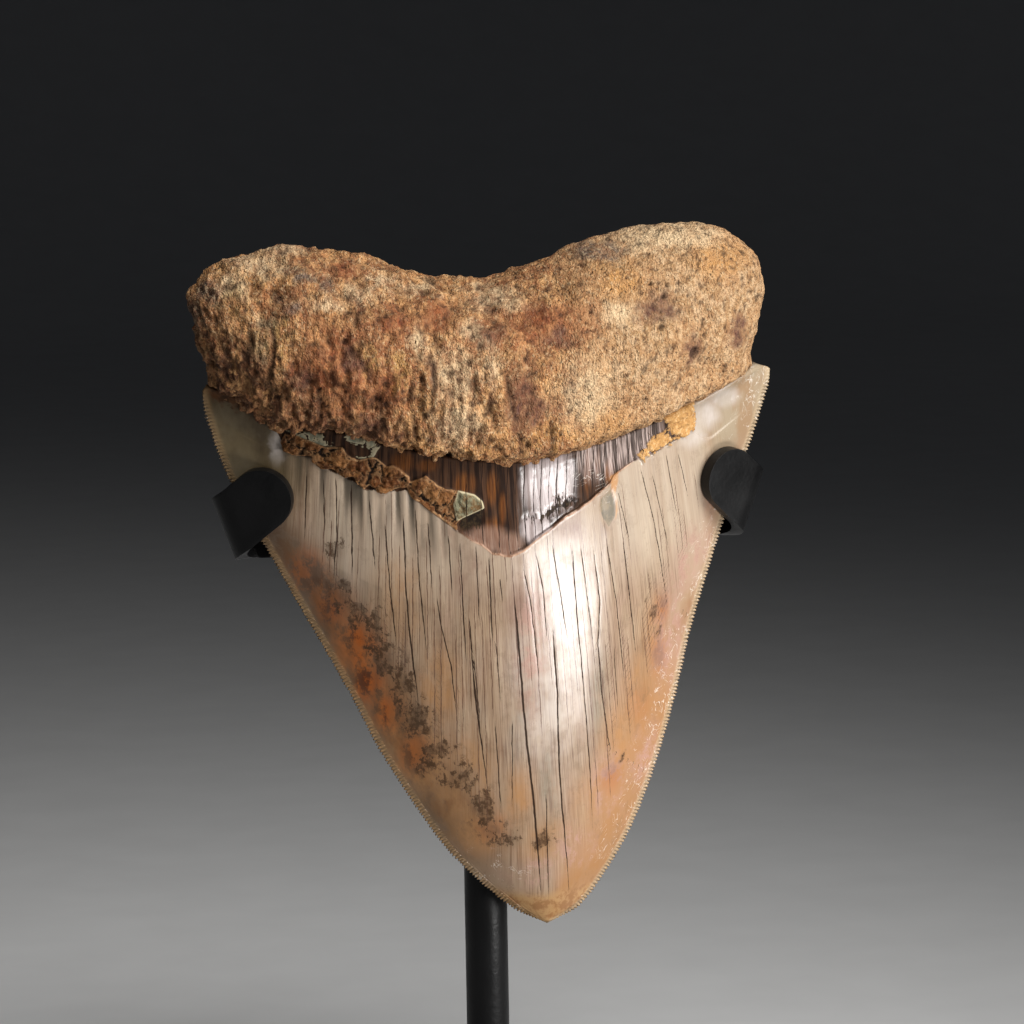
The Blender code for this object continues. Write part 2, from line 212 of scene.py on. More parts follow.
# ---- The crown ----------------------------------------------------------------------------------
# Enamel, polished on the tongue side, cracked along its growth lines and finely serrated along both edges.
# Above its V-shaped lip lies the collar of dark glossy dentine, and a crust of rotted flakes clings to the lip.
CROWN_ROWS = row_places((9, 14, 18, 18, 34, 5, 44, 5), range(9))
FRONT_COLUMNS, BACK_COLUMNS = 400, 100
RIM_STEPS = np.array((0.0, 0.25, 0.55, 0.95, 1.45))  # in from the rim, for the columns that carry serrations
SERRATION_PITCH, SERRATION_HEIGHT, SERRATION_SEGMENT = 0.74, 0.55, 0.125
RIB_HEIGHT = 0.22
SERRATED_TO, RIM_POINTS = 115.0, 1200  # how high the serrations go, and the points along each edge
ENDS_WITHIN = 6.0  # within this distance of the tip, the serrations and the rim's columns shrink
OUTSIDE = -9.0  # the depth of what is not on the front at all
# the enamel's lip, from left to right
LIP_LINE = [
    (-75, 122), (-57.5, 109.5), (-55.5, 104.6), (-54.4, 102.6), (-52.3, 101.8), (-49.8, 101.4), (-47.8, 99.4),
    (-43.6, 97.4), (-39.9, 94.8), (-35.5, 94.1), (-31.5, 94.4), (-28.7, 91.7), (-24.7, 88.4), (-21.8, 86.1),
    (-19.1, 84.1), (-16.6, 82.8), (-14.5, 81), (-10.8, 80.2), (-8, 81.2), (-5.2, 83.4), (-2.5, 85.1), (0, 87),
    (3.1, 88.7), (6.2, 90.4), (9.3, 92.7), (11.1, 94), (11.9, 95.4), (13.5, 96.5), (16.7, 98.3), (21, 99.3),
    (25, 101.2), (29.1, 102.5), (30.2, 104.6), (30.9, 121), (52, 130),
]
# cracks down the enamel, each a line of (x, z) points and its half width
CRACKS = [
    ([(-21.1, 84.1), (-20.2, 68.6), (-19.7, 62.4)], 0.11),
    ([(-19.1, 68.6), (-17.5, 51.3), (-15.4, 38.1)], 0.13), ([(-17.9, 83), (-17.1, 69.6)], 0.1),
    ([(-15.2, 80.4), (-14.4, 65)], 0.13), ([(-12.9, 75.5), (-12.4, 71.9)], 0.09),
    ([(-10, 72.9), (-9, 63.6), (-7.6, 49.1), (-6.6, 40.6), (-4.9, 29), (-3.7, 19.5)], 0.23),
    ([(-8.1, 78.2), (-6.3, 69.9), (-4.9, 58.9)], 0.11), ([(-5.4, 80.6), (-3.8, 73.4), (-3.1, 66)], 0.1),
    ([(-1.9, 82.6), (-0.6, 75.2), (1.1, 65.7)], 0.11),
    ([(-1.7, 65.9), (-0.4, 52.4), (0.4, 36.9), (1.2, 28.6), (2.5, 19)], 0.17),
    ([(2.4, 83), (3.8, 66.7), (5.1, 55.6), (6.9, 40.2), (7.7, 32.1)], 0.12),
    ([(7.1, 81.6), (8.9, 69.9), (8.7, 59.9), (9.9, 49.5), (12.2, 37.6), (15.3, 35.6)], 0.12),
    ([(10.3, 82.4), (13, 67.6), (14.5, 57.1)], 0.11), ([(14.1, 82), (15.8, 70.9), (17.3, 61.3)], 0.11),
    ([(4.4, 81.8), (7, 64.5)], 0.09), ([(-13.3, 45.8), (-11.7, 29.3)], 0.1),
    ([(-9.8, 45.7), (-9.3, 30.3)], 0.09), ([(-2.2, 30), (-1.5, 18.7), (-0.8, 10.4)], 0.11),
    ([(-32.3, 89.9), (-31.5, 74.2), (-30.5, 64), (-29.4, 56.5)], 0.15),
    ([(-29.9, 91.1), (-29, 75.9), (-27.8, 65.7)], 0.11),
    ([(-35.8, 87.9), (-34.6, 74.2), (-33.6, 66.7)], 0.11),
    ([(-25.5, 72.5), (-24.5, 65.7), (-22.4, 58), (-21.6, 52.2)], 0.11),
    ([(-38.9, 92.9), (-37.8, 81.4)], 0.12), ([(-42.3, 96.3), (-41.9, 79.8)], 0.13),
    ([(-45.2, 98), (-44.9, 85.7), (-45.1, 80)], 0.11), ([(-50.7, 98), (-50.9, 86.9)], 0.09),
    ([(18, 97.1), (21.4, 85.6), (24.5, 71.6)], 0.11), ([(20.9, 95.4), (24.5, 82.1)], 0.09),
    ([(24.2, 99.1), (26.5, 88.9)], 0.09), ([(27.2, 98.9), (29.5, 91.1)], 0.08),
    ([(29.4, 65.5), (32, 63.3)], 0.1), ([(-27.4, 88), (-26.6, 76)], 0.09),
    ([(-23.4, 85), (-22.6, 74.5)], 0.1), ([(13, 92), (15.2, 83.5)], 0.09), ([(-47.6, 97), (-47.3, 88)], 0.08),
    ([(-13.6, 62.5), (-12.5, 52)], 0.08), ([(12.4, 60), (13.5, 49)], 0.08), ([(-18, 60), (-16.6, 48)], 0.08),
]
# outlines: the rotted flakes along the left arm of the lip, the pale flake at their right end and the broken
# spot below it, the grey-green chips above them, and what lies along the right arm and in the V of the collar
CRUST = [
    (-55.7, 104.5), (-55, 102.8), (-52.3, 101.8), (-49.8, 101.8), (-49.4, 100.6), (-47.8, 99.2),
    (-45.8, 99.1), (-43.6, 97.4), (-41.6, 97.5), (-41.2, 96.3), (-39.9, 94.6), (-38.7, 95.9), (-36.7, 94.1),
    (-35.5, 94), (-33, 95.2), (-31.5, 95.2), (-30.5, 92.8), (-28.7, 91.7), (-26.9, 90.1), (-24.7, 88.4),
    (-21.8, 86.1), (-21.6, 87.5), (-19.6, 89.3), (-16.5, 90.7), (-16.7, 91.9), (-18, 93), (-20.1, 93.6),
    (-21.4, 94.3), (-24, 94.7), (-25.8, 95.8), (-27.8, 97.5), (-29.3, 96.8), (-30.8, 96.3), (-31.1, 97.3),
    (-32.6, 98.9), (-34.3, 99.8), (-35.5, 99.4), (-37.3, 101.2), (-38.5, 101.4), (-41.4, 100.9),
    (-43.3, 102.2), (-44.1, 103.6), (-47.3, 103.6), (-49.5, 104.6), (-52.5, 105.9), (-54.9, 106.3),
]
TIP_FLAKE = [(-21.6, 88), (-22.4, 91.5), (-21.4, 94.4), (-18, 93.4), (-16.4, 92), (-16, 90.4), (-19.5, 88.9)]
BELOW_TIP = [(-16.2, 90.7), (-15.7, 89), (-16.7, 86.6), (-20.7, 86), (-22, 87.3), (-19.5, 89.6)]
CHIPS = [
    (-55.2, 107.2), (-52.1, 106.9), (-47.4, 106.4), (-42.7, 106.7), (-38.2, 106.5), (-36.8, 103.7),
    (-38, 101.7), (-40.7, 101.1), (-42.6, 102.4), (-44.2, 103.9), (-47.4, 103.8), (-49.7, 104.7),
    (-52.5, 105.9),
]
OCHRE = (
    [(16.4, 99.7), (19, 100.4), (20.2, 103), (22.9, 104.1), (25, 103), (25.2, 101.4), (23, 100.4),
     (20.7, 99.4), (18.7, 98.2), (17.2, 98.5)],
    [(22.2, 109.2), (27, 110.9), (30, 110.9), (31.5, 104.4), (29.1, 102.2), (26.4, 102.3), (24.6, 103.8)],
)
BROKEN_BAND = [
    (-8.8, 88.3), (-6.5, 89.2), (-4.1, 88.9), (-2, 90.8), (-1.6, 92.7), (0.4, 93), (1.3, 91.9), (2.6, 92.3),
    (4.6, 91.7), (4.4, 90), (2.6, 89.4), (0, 88.4), (-2.4, 87.3), (-5.4, 86.7), (-7.8, 86.8),
]
GREY_PATCH = [(9.1, 91.2), (11.6, 93), (12.5, 90.5), (12.5, 87.4), (10.9, 84.9), (9.2, 87.4), (8.7, 89.7)]
ORANGE_RIM = [
    (11, 95.6), (12.9, 96.3), (13, 94), (12.4, 92.2), (13, 88), (12.4, 86.5), (12.3, 90.5), (11.4, 92.6),
]
# stains on the crown, each a list of ovals: x, z, half width, half height
AMBER = [
    (6, 97, 0.8, 4.8), (10.9, 96.3, 1, 2.6), (-14, 85.8, 1.8, 2.4), (-32.5, 100.4, 2.1, 1.9),
    (8.3, 98.5, 0.5, 3), (-20, 95.6, 2, 2.2), (-14.4, 94.6, 1.1, 3.2), (-27.6, 99.6, 2, 1.2),
    (-12.2, 90, 0.9, 3),
]
RUST = [
    (-49.7, 77.7, 3.4, 4.4), (-45, 71, 3, 4), (-39.8, 62, 4, 6), (-38, 54.5, 3.2, 4.5), (-34, 47.5, 2.6, 4.5),
    (-28.5, 38.5, 2.4, 4), (23.6, 56, 2, 4), (19.4, 46.3, 2.6, 3.4), (12.5, 31, 2.6, 3.2),
    (24.5, 67, 1.6, 3.4), (36, 88, 1.6, 3.2), (-13, 22, 3, 3),
]
MOTTLES = [
    (-37, 65, 2.2, 4.5), (-35, 59, 2.4, 4.5), (-31.7, 53.5, 2.6, 4), (-28.7, 46.5, 2.8, 3.6),
    (-24.3, 39.5, 3.4, 1.9), (-20, 33, 3.2, 3.4), (-15.5, 27, 2.6, 3.2), (-12.5, 21.5, 2.3, 2.6),
    (-9.3, 19.5, 2.1, 1.9), (-43, 72, 2, 3.2), (-40.5, 68.5, 2, 3), (-45, 82, 1.6, 2.2), (-2.3, 19, 2.2, 1.9),
    (20.3, 69, 0.6, 0.9), (22, 66, 0.7, 1.1), (23.5, 61, 0.6, 0.8), (15.4, 35.5, 0.6, 0.6),
    (-26.5, 36, 1.6, 2),
]
WARM = [
    (-33.5, 70, 4.5, 8), (21, 50, 4.5, 8), (16.5, 38, 5.5, 8), (11, 28.5, 6, 6), (22, 62, 3, 6),
    (-33, 47, 4, 9), (-27, 38, 5, 8), (-19, 33, 5, 9), (-15, 22, 5, 6), (-40, 60, 4, 7), (-2, 19, 5, 4),
    (-25, 52, 4, 8), (-8, 28, 3, 6),
]
OLIVE = [
    (-1.5, 30, 2.4, 16), (-15.5, 40, 2, 9), (-9, 50, 2.2, 14), (9, 50, 2.2, 10), (-19, 66, 2.4, 9),
    (-27.5, 75, 2, 9), (4, 62, 1.8, 9), (-3, 74, 2.2, 7),
]
WHITE_END = [(30.5, 102.8, 3.2, 2.6), (34, 106.4, 3.4, 2.8), (38.5, 109.8, 3.4, 2), (-56.3, 103.6, 1.3, 3.2)]
BROWNED = [(-17, 76, 5, 5), (-25, 83, 4, 3.5), (5, 85, 5, 2.2), (-9, 70, 2.5, 4)]
PINK = [
    (26.5, 60, 4, 9), (30.5, 76, 4, 6), (22, 34, 4, 6), (37.5, 92, 3.5, 5), (-2.5, 12, 5, 3), (5, 17, 4, 4),
    (-6, 62, 3, 12), (12, 30, 4, 6),
]


def outer_row(columns, half_width, first_side):
    """Where the columns of one face meet a row: fixed steps in from each rim, and evenly spaced between."""
    steps = RIM_STEPS * min(1.0, half_width / ENDS_WITHIN) / max(half_width, 1e-6)
    between = np.linspace(-1 + steps[-1], 1 - steps[-1], columns + 1 - 2 * (len(steps) - 1))
    s = np.concatenate((-1 + steps[:-1], between, (1 - steps[:-1])[::-1]))
    return s * first_side


def outline_depth(x, z, outline):
    """How deep each point is inside a closed outline; outside, minus its distance from it."""
    inside, nearest = np.zeros(len(x), bool), np.full(len(x), 1e9)
    for (ax, az), (bx, bz) in zip(outline, outline[1:] + outline[:1]):
        along = ((x - ax) * (bx - ax) + (z - az) * (bz - az)) / ((bx - ax) ** 2 + (bz - az) ** 2)
        along = np.clip(along, 0, 1)
        nearest = np.minimum(nearest, np.hypot(x - ax - along * (bx - ax), z - az - along * (bz - az)))
        if az != bz:
            inside ^= ((az > z) != (bz > z)) & (x < ax + (z - az) * (bx - ax) / (bz - az))
    return np.where(inside, nearest, -nearest)


crown, column, row = ring_grid("crown", FRONT_COLUMNS + BACK_COLUMNS, len(CROWN_ROWS) - 1)
t = CROWN_ROWS[row]
rim_heights = section_values(CROWN_ROWS)[2]
half_widths = (outline_x(1, rim_heights) - outline_x(-1, rim_heights)) / 2
table = np.array([np.concatenate((outer_row(FRONT_COLUMNS, h, 1), outer_row(BACK_COLUMNS, h, -1)[1:]))
                  for h in half_widths])
back_of_front = np.rint(np.linspace(0, BACK_COLUMNS, FRONT_COLUMNS + 1)).astype(int)
last_row = outer_row(BACK_COLUMNS, half_widths[-1], 1)
table[-1] = np.concatenate((last_row[back_of_front], last_row[::-1][1:]))
s = table[row, column]
on_front = column <= FRONT_COLUMNS
base = tooth_surface(on_front | (row == len(CROWN_ROWS) - 1), s, t)

# on the front the rows about the lip follow its own line, in small bites on the left arm, smoothly on the right
x = base[:, 0]
nothing = 0 * x
lip_line = np.array(LIP_LINE)
span = np.linspace(-1, 1, 801)
lip_row = tooth_surface(np.full(len(span), True), span, np.full(len(span), float(LIP)))
to_lip = np.interp(x, *lip_line[2:-2].T) - np.interp(x, lip_row[:, 0], lip_row[:, 2])
near_lip = smooth_step(-60, -52, x) * (1 - smooth_step(29, 36, x)) * smooth_step(4.0, 4.97, t)
near_lip = near_lip * (1 - smooth_step(5.15, 7.0, t)) * (1 - np.abs(s) ** 10) * on_front
ragged = np.where(x < -12, 0.5, 0.25)
bites = 0.8 * waves(x / 2.4, nothing, nothing) + 0.5 * waves(x / 0.9, nothing + 9, nothing)
base[:, 2] += near_lip * (to_lip + ragged * bites)
# above its own margin the crown tucks in under the root and closes there
tuck = np.clip(t - MARGIN, 0, 1)
base[:, 1] *= np.sqrt(1 - tuck ** 2)
place_vertices(crown, base)
kept = close_seams(crown)
base, t, s, column, row, on_front, near_lip, ragged, bites = (
    values[kept] for values in (base, t, s, column, row, on_front, near_lip, ragged, bites))
nothing = 0 * t
normals = vertex_normals(crown)
x, y, z = base.T

# growth lines run down the crown and fan out a little to the right; growth is the line that a point lies on
drop = 90.0 - z
growth = (x - 0.106 * drop) / (1 + 0.0027 * drop)
above_lip = z - np.interp(x, *lip_line.T) - 0.4 * near_lip * ragged * bites
above_lip = np.where(on_front & (t > LIP - 1), above_lip, OUTSIDE)
from_rim = (1 - np.abs(s)) * half_widths[row]
inner = np.clip(from_rim / 1.2, 0, 1)


def line_gaps(lines, x, z, mask, within):
    """The signed distance across to the nearest line, and that line's half width where it runs. Each line runs
    on a third past its end as it dies away, and the width fades out before the half way to the next line."""
    gap, width = np.full(len(x), within * 2), np.zeros(len(x))
    for points, half_width in lines:
        points = np.array(points)
        slope = (points[-2, 0] - points[-1, 0]) / (points[-2, 1] - points[-1, 1])
        points = np.vstack((points, points[-1] + 0.35 * (points[-1, 1] - points[0, 1]) * np.array((slope, 1))))
        top, bottom, length = points[0, 1], points[-1, 1], points[0, 1] - points[-1, 1]
        near = np.flatnonzero(mask & (z < top + 0.5) & (z > bottom - 0.5))
        none, seed = nothing[near], points[0, 0]
        across = x[near] - np.interp(-z[near], -points[:, 1], points[:, 0])
        across -= 0.13 * waves(z[near] / 2.6, none + seed, none)
        ends = smooth_step(bottom - 0.5, bottom + 0.35 * length, z[near])
        ends = ends * (1 - smooth_step(top - 0.1 * length, top + 0.5, z[near]))
        uneven = 0.85 + 0.35 * waves(z[near] / 1.9, none, none + seed)
        closer = np.abs(across) < np.abs(gap[near])
        gap[near[closer]] = across[closer]
        width[near[closer]] = (1.3 * half_width * ends * uneven)[closer]
    return gap, width * (1 - smooth_step(within * 0.5, within, np.abs(gap)))


# besides the cracks that are listed there are hairlines, cracks down the back and fine lines down the collar
chance = np.random.default_rng(7)
fine_lines, back_lines = [], []
for k in range(78):
    place = -60 + 1.28 * k + chance.uniform(-0.13, 0.13)
    top, length = chance.uniform(60, 99), chance.uniform(10, 45)
    depths = np.linspace(top, top - length, 5)
    fine_lines.append(([(place, d) for d in depths], chance.uniform(0.045, 0.095)))
for k in range(30):
    place = -58 + 3.2 * k + chance.uniform(-0.9, 0.9)
    top, length = chance.uniform(70, 104), chance.uniform(12, 50)
    foot = (place + chance.uniform(-0.5, 0.5), top - length)
    back_lines.append(([(place, top), foot], chance.uniform(0.06, 0.15)))
collar_lines = [([(place, 103.0), (place - 0.3, 92.0), (place + 0.4, 82.0)], width) for place, width in (
    (-19.5, 0.07), (-16.5, 0.09), (-13.2, 0.08), (-11.2, 0.10), (-9.4, 0.07), (-7.6, 0.11), (-5.5, 0.07),
    (-4.0, 0.09), (-2.2, 0.06), (-0.6, 0.11), (1.5, 0.08), (3.4, 0.10), (5.2, 0.07), (7.4, 0.09), (9.8, 0.08),
    (12.6, 0.07), (15.5, 0.09), (18.4, 0.07))]
# each kind of line reaches a little less than half the spacing of its neighbours
crack_gap, crack_width = line_gaps(CRACKS, x, z, on_front, 0.52)
back_gap, back_width = line_gaps(back_lines, growth, z, ~on_front, 1.3)
fine_gap, fine_width = line_gaps(fine_lines, growth, z, on_front, 0.46)
collar_gap, collar_width = line_gaps(collar_lines, x, z, on_front & (above_lip > 0.3), 0.62)
crack_gap, crack_width = np.where(on_front, crack_gap, back_gap), np.where(on_front, crack_width, back_width)
crack_width *= inner * (above_lip < -0.1)
crack_gap = np.where(above_lip > 0.2, collar_gap, crack_gap)
crack_width = np.where(above_lip > 0.2, collar_width * (above_lip > 0.5), crack_width)
fine_width *= inner * (above_lip < 0.5) * smooth_step(8.0, 14.0, from_rim)

grit = waves(x / 0.8, y / 0.8, z / 0.8, 3)
uneven = 0.30 * waves(x / 1.5, nothing + 3, z / 1.5) + 0.15 * waves(x / 0.5, nothing + 4, z / 0.5)


def front_depth(outline, rough=0):
    """How deep each point of the crown's front is inside an outline that the given roughness frays."""
    return np.where(on_front, outline_depth(x, z, outline) + rough, OUTSIDE)


crust_depth, chip_depth = front_depth(CRUST, 0.6 * uneven), front_depth(CHIPS, 0.5 * uneven)
tip_depth, grey_depth = front_depth(TIP_FLAKE), front_depth(GREY_PATCH, 0.3 * uneven)
ochre_depth = np.maximum(*(front_depth(outline) for outline in OCHRE))
ochre_depth = np.where(on_front, ochre_depth - 0.2 + 1.2 * grit, OUTSIDE)
broken_depth = np.maximum(front_depth(BROKEN_BAND, -0.55 + 1.8 * uneven + 0.9 * grit), front_depth(BELOW_TIP))
plate_edge, plate_tone = np.zeros(len(x)), np.zeros(len(x))
for k in np.flatnonzero(np.maximum(crust_depth, chip_depth) > -1):
    distances, centres = noise.voronoi(((x[k] + 1.4 * uneven[k]) / 3.9, 0.0, (z[k] + 0.9 * grit[k]) / 3.1))
    plate_edge[k], plate_tone[k] = distances[1] - distances[0], noise.cell(centres[0] * 5.3)

# the relief: ribs below the crust, faint growth ridges, cracks, then crust, chips and the collar's raised edge
ribs = waves(growth / 1.25, nothing + 5, z / 22.0)
under_crust = smooth_step(-13.0, -1.0, above_lip) * (above_lip < 0.3) * (1 - smooth_step(-30, -18, x))
under_crust = under_crust * smooth_step(-56, -51, x) * on_front
lift = 0.008 * waves(growth / 0.5, nothing, z / 14.0) + 0.035 * waves(growth / 2.1, nothing + 2, z / 40.0)
lift += 0.34 * under_crust * ribs
lift -= 0.02 * np.exp(-(crack_gap / 0.25) ** 2) * np.clip(crack_width / 0.12, 0, 1.6)
stands = smooth_step(-0.12, 0.25, crust_depth) * (0.55 + 0.45 * np.abs(plate_tone))
stands += 0.35 * smooth_step(0.3, 1.2, crust_depth) * smooth_step(0.1, 0.6, plate_edge)
stands *= 1 - 0.55 * (1 - smooth_step(0.02, 0.12, plate_edge))
lift += stands * (0.85 + 0.55 * grit) + 0.35 * smooth_step(-0.1, 0.3, tip_depth)
lift += 0.55 * smooth_step(-0.4, 0.5, ochre_depth) * (0.6 + 0.9 * np.clip(grit + 0.3, 0, 1))
lift += 0.30 * smooth_step(-0.1, 0.2, chip_depth) * (1 - smooth_step(-0.2, 0.1, crust_depth))
lift -= 0.15 * smooth_step(-0.2, 0.3, broken_depth) * (1 - smooth_step(-0.2, 0.2, tip_depth))
lift -= 0.12 * smooth_step(-0.1, 0.2, grey_depth)
ridge = np.exp(-((above_lip - 0.05) / 0.22) ** 2) * smooth_step(-22, -17, x) * (1 - smooth_step(14, 18, x))
lift += 0.09 * ridge * (0.8 + 0.9 * waves(x / 0.8, nothing, nothing))
lift += smooth_step(0.2, 1.0, above_lip) * (0.05 * waves(growth / 0.7, nothing + 6, z / 9.0)
                                           + 0.10 * waves(x / 3.0, nothing, z / 5.0))
lift *= smooth_step(0.0, 0.6, inner)
base += normals * lift[:, None]
place_vertices(crown, base)

# what the material reads: gaps and depths, stains and a painted highlight in ovals on the front, bands along
# the rims and the collar
for name, depth in (("above_lip", above_lip), ("crust_depth", crust_depth), ("tip_depth", tip_depth),
                    ("chip_depth", chip_depth), ("ochre_depth", ochre_depth), ("broken_depth", broken_depth),
                    ("grey_depth", grey_depth)):
    add_mask(crown, name, np.clip(depth, -2, 2))
for name, spots, edge in (
        ("amber", AMBER, 0.5), ("mottle", MOTTLES, 0.7), ("browned", BROWNED, 0.8), ("olive", OLIVE, 0.9),
        # the middle: pale enamel with a painted highlight where the low strip light reflects
        ("bright_middle", [(-1.0, 62.0, 8.0, 24.0)], 0.8),
        ("grey_streak", [(15.1, 102.8, 8.3, 5.0), (9.0, 100.5, 6.0, 4.6)], 0.6),
        ("pink_zone", [(-15.5, 84.0, 4.5, 2.6), (-11.0, 82.6, 3.0, 2.6)], 0.4)):
    add_mask(crown, name, patch(x, z, spots, edge) * on_front)
rust = patch(x, z, RUST, 0.8) * (1 - 0.45 * smooth_step(66, 76, z)) * (1 - 0.55 * smooth_step(34, 26, z))
rust = rust * (1 - 0.55 * (x > 0)) * on_front + 0.6 * ~on_front * patch(x, z, [(-38, 80, 12, 12)], 0.9)
rust_band = smooth_step(1.0, 5.0, from_rim) * smooth_step(17, 9, from_rim) * (s < 0) * smooth_step(88, 74, z)
scratched = smooth_step(12.0, 4.0, from_rim) * (s > 0) * smooth_step(10, 20, z)
scratched = np.maximum(scratched, 0.8 * patch(x, z, [(6.0, 94.0, 6.0, 4.0), (-14.0, 13.0, 8.0, 4.0)], 0.6))
# the fringe: a brown band at the crown's top under the root's overhang, part stain and part painted shade
fringe = smooth_step(MARGIN - 0.35, MARGIN - 0.02, t + 0.22 * grit) * (1 - smooth_step(24, 30, x))
pale_top = smooth_step(4, 14, x) * smooth_step(68, 84, z) * (1 - smooth_step(32, 37, x))
pale_left = smooth_step(-52, -45, x) * (1 - smooth_step(-14, -6, x))
pale_top += 0.9 * pale_left * smooth_step(66, 82, z + 4 * uneven)
tip_edge = z + 0.8 * waves(x / 3, nothing, z / 3) - 0.10 * np.abs(x + 1)
side_band = smooth_step(15.0, 3.0, from_rim)
for name, values in {
    "crack_gap": crack_gap, "crack_width": crack_width, "fine_gap": fine_gap, "fine_width": fine_width,
    "plate_edge": plate_edge, "plate_tone": np.abs(plate_tone), "ridge": ridge, "rust": rust,
    "orange": smooth_step(-0.1, 0.2, outline_depth(x, z, ORANGE_RIM) + 0.4 * uneven) * on_front,
    "pink": patch(x, z, PINK, 0.8) * on_front + 0.5 * ~on_front,
    "warm": patch(x + 3 * uneven, z, WARM, 0.9) * on_front,
    "white_end": patch(x + 2 * uneven, z, WHITE_END, 0.6) * on_front,
    # painted highlight: the pale silver in the middle of the collar
    "silver": patch(x + uneven, z, [(-2.6, 95.5, 5.4, 7.0), (-5.2, 86.0, 3.0, 3.4)], 0.3) * on_front,
    # painted shade: the valleys between the ribs below the crust are darkened as if shaded by it
    "shade": under_crust * smooth_step(0.15, -0.35, ribs),
    "streaked": smooth_step(3.5, 11.0, from_rim), "tip_tan": 1 - smooth_step(5.5, 8.5, tip_edge),
    # the left side and the left end of the crown are darkened as painted shade
    "left_side": side_band * (s < 0) * smooth_step(96, 84, z) * smooth_step(7, 22, z),
    "right_side": side_band * smooth_step(0, 0.3, s),
    "left_end": smooth_step(-48, -57, x) * smooth_step(88, 98, z) * on_front,
    "right_end": smooth_step(30, 39, x) * smooth_step(92, 103, z) * on_front,
    "rust_band": rust_band * smooth_step(14, 24, z) * on_front,
    "warm_low": smooth_step(23, 5, from_rim) * smooth_step(0, 0.3, s) * smooth_step(66, 42, z) * on_front,
    "scratched": scratched * on_front, "fringe": fringe * on_front, "pale_top": pale_top * on_front,
    "matt_collar": smooth_step(1.5, 4.5, x) + smooth_step(-7.5, -10.0, x),
}.items():
    add_mask(crown, name, values)

# a growth map lets the material's streaks follow the growth lines
growth_map = crown.data.uv_layers.new(name="growth")
corners = np.empty(len(crown.data.loops), int)
crown.data.loops.foreach_get("vertex_index", corners)
growth_map.data.foreach_set("uv", np.stack((growth[corners] / 100, z[corners] / 100), axis=1).ravel())

# the rim: its columns are cut into short steps, which are then pushed out and ribbed as serrations
bm = bmesh.new()
bm.from_mesh(crown.data)
valley = bm.verts.layers.float.new("valley")
rim_column = np.minimum.reduce((column, np.abs(column - FRONT_COLUMNS), FRONT_COLUMNS + BACK_COLUMNS - column))
edges_by_cuts = {}
for edge in bm.edges:
    a, b = edge.verts[0].index, edge.verts[1].index
    if row[a] == row[b] or rim_column[a] > len(RIM_STEPS) - 1 or max(t[a], t[b]) > MARGIN + 0.01:
        continue
    side = -1 if s[a] + s[b] < 0 else 1
    low, high = section_values(np.array((t[a], t[b])))[2]
    run = np.hypot(high - low, float(outline_x(side, high) - outline_x(side, low)))
    cuts = max(0, int(round(run / SERRATION_SEGMENT)) - 1)
    if cuts:
        edges_by_cuts.setdefault(cuts, []).append(edge)
for cuts, edges in sorted(edges_by_cuts.items()):
    bmesh.ops.subdivide_edges(bm, edges=edges, cuts=cuts)
bmesh.ops.triangulate(bm, faces=[f for f in bm.faces if len(f.verts) > 4])

heights = np.linspace(0.0, SERRATED_TO, RIM_POINTS)
last = RIM_POINTS - 1
rims = {side: np.stack((outline_x(side, heights), heights), axis=1) for side in (-1, 1)}
lengths = {side: np.append(0, np.cumsum(np.hypot(*np.diff(rims[side], axis=0).T))) for side in (-1, 1)}
for vertex in bm.verts:
    px, pz = vertex.co.x * 1000 - TIP[0], vertex.co.z * 1000 - TIP[2]
    k = int(np.clip(pz / SERRATED_TO * last, 0, last))
    side = -1 if px < (rims[-1][k, 0] + rims[1][k, 0]) / 2 else 1
    low, high = max(0, k - 30), min(RIM_POINTS, k + 31)
    away = rims[side][low:high] - (px, pz)
    gap = np.hypot(away[:, 0], away[:, 1])
    if gap.min() > 1.6 or pz > SERRATED_TO + 0.4:
        continue
    nearest = low + int(gap.argmin())
    depth, length = gap.min(), lengths[side][nearest]
    size = smooth_step(0.0, ENDS_WITHIN, length)
    size = size * (1 - smooth_step(lengths[side][-1] - 4, lengths[side][-1], length))
    worn = 0.85 + 0.4 * noise.noise((length / 3.1, side, 0))
    phase = length / SERRATION_PITCH + 0.25 * noise.noise((length / 2.3, 0, side))
    crest = 0.5 - 0.5 * cos(2 * pi * phase)
    tangent = rims[side][min(last, nearest + 3)] - rims[side][max(0, nearest - 3)]
    tangent = tangent / np.hypot(*tangent)
    push = side * SERRATION_HEIGHT * size * worn * crest * (1 - smooth_step(0.0, 0.7, depth))
    rib = RIB_HEIGHT * size * worn * (crest - 0.5)
    rib = rib * (1 - smooth_step(0.6, 1.5, depth)) * smooth_step(0.02, 0.2, depth)
    vertex[valley] = size * (1 - crest) * (1 - smooth_step(0.5, 1.0, depth))
    vertex.co.x += tangent[1] * push / 1000
    vertex.co.z -= tangent[0] * push / 1000
    vertex.co.y += (-rib if vertex.co.y < 0 else rib) / 1000
bm.to_mesh(crown.data)
bm.free()
points = np.empty(len(crown.data.vertices) * 3)
crown.data.vertices.foreach_get("co", points)
points = points.reshape(-1, 3) * 1000 - TIP
left_x, right_x = (np.interp(points[:, 2], heights, rims[side][:, 0]) for side in (-1, 1))
to_rim = np.minimum(np.abs(points[:, 0] - left_x), np.abs(points[:, 0] - right_x))
add_mask(crown, "rim", 1 - smooth_step(0.5, 1.7, to_rim))
crown.data.polygons.foreach_set("use_smooth", np.ones(len(crown.data.polygons), bool))


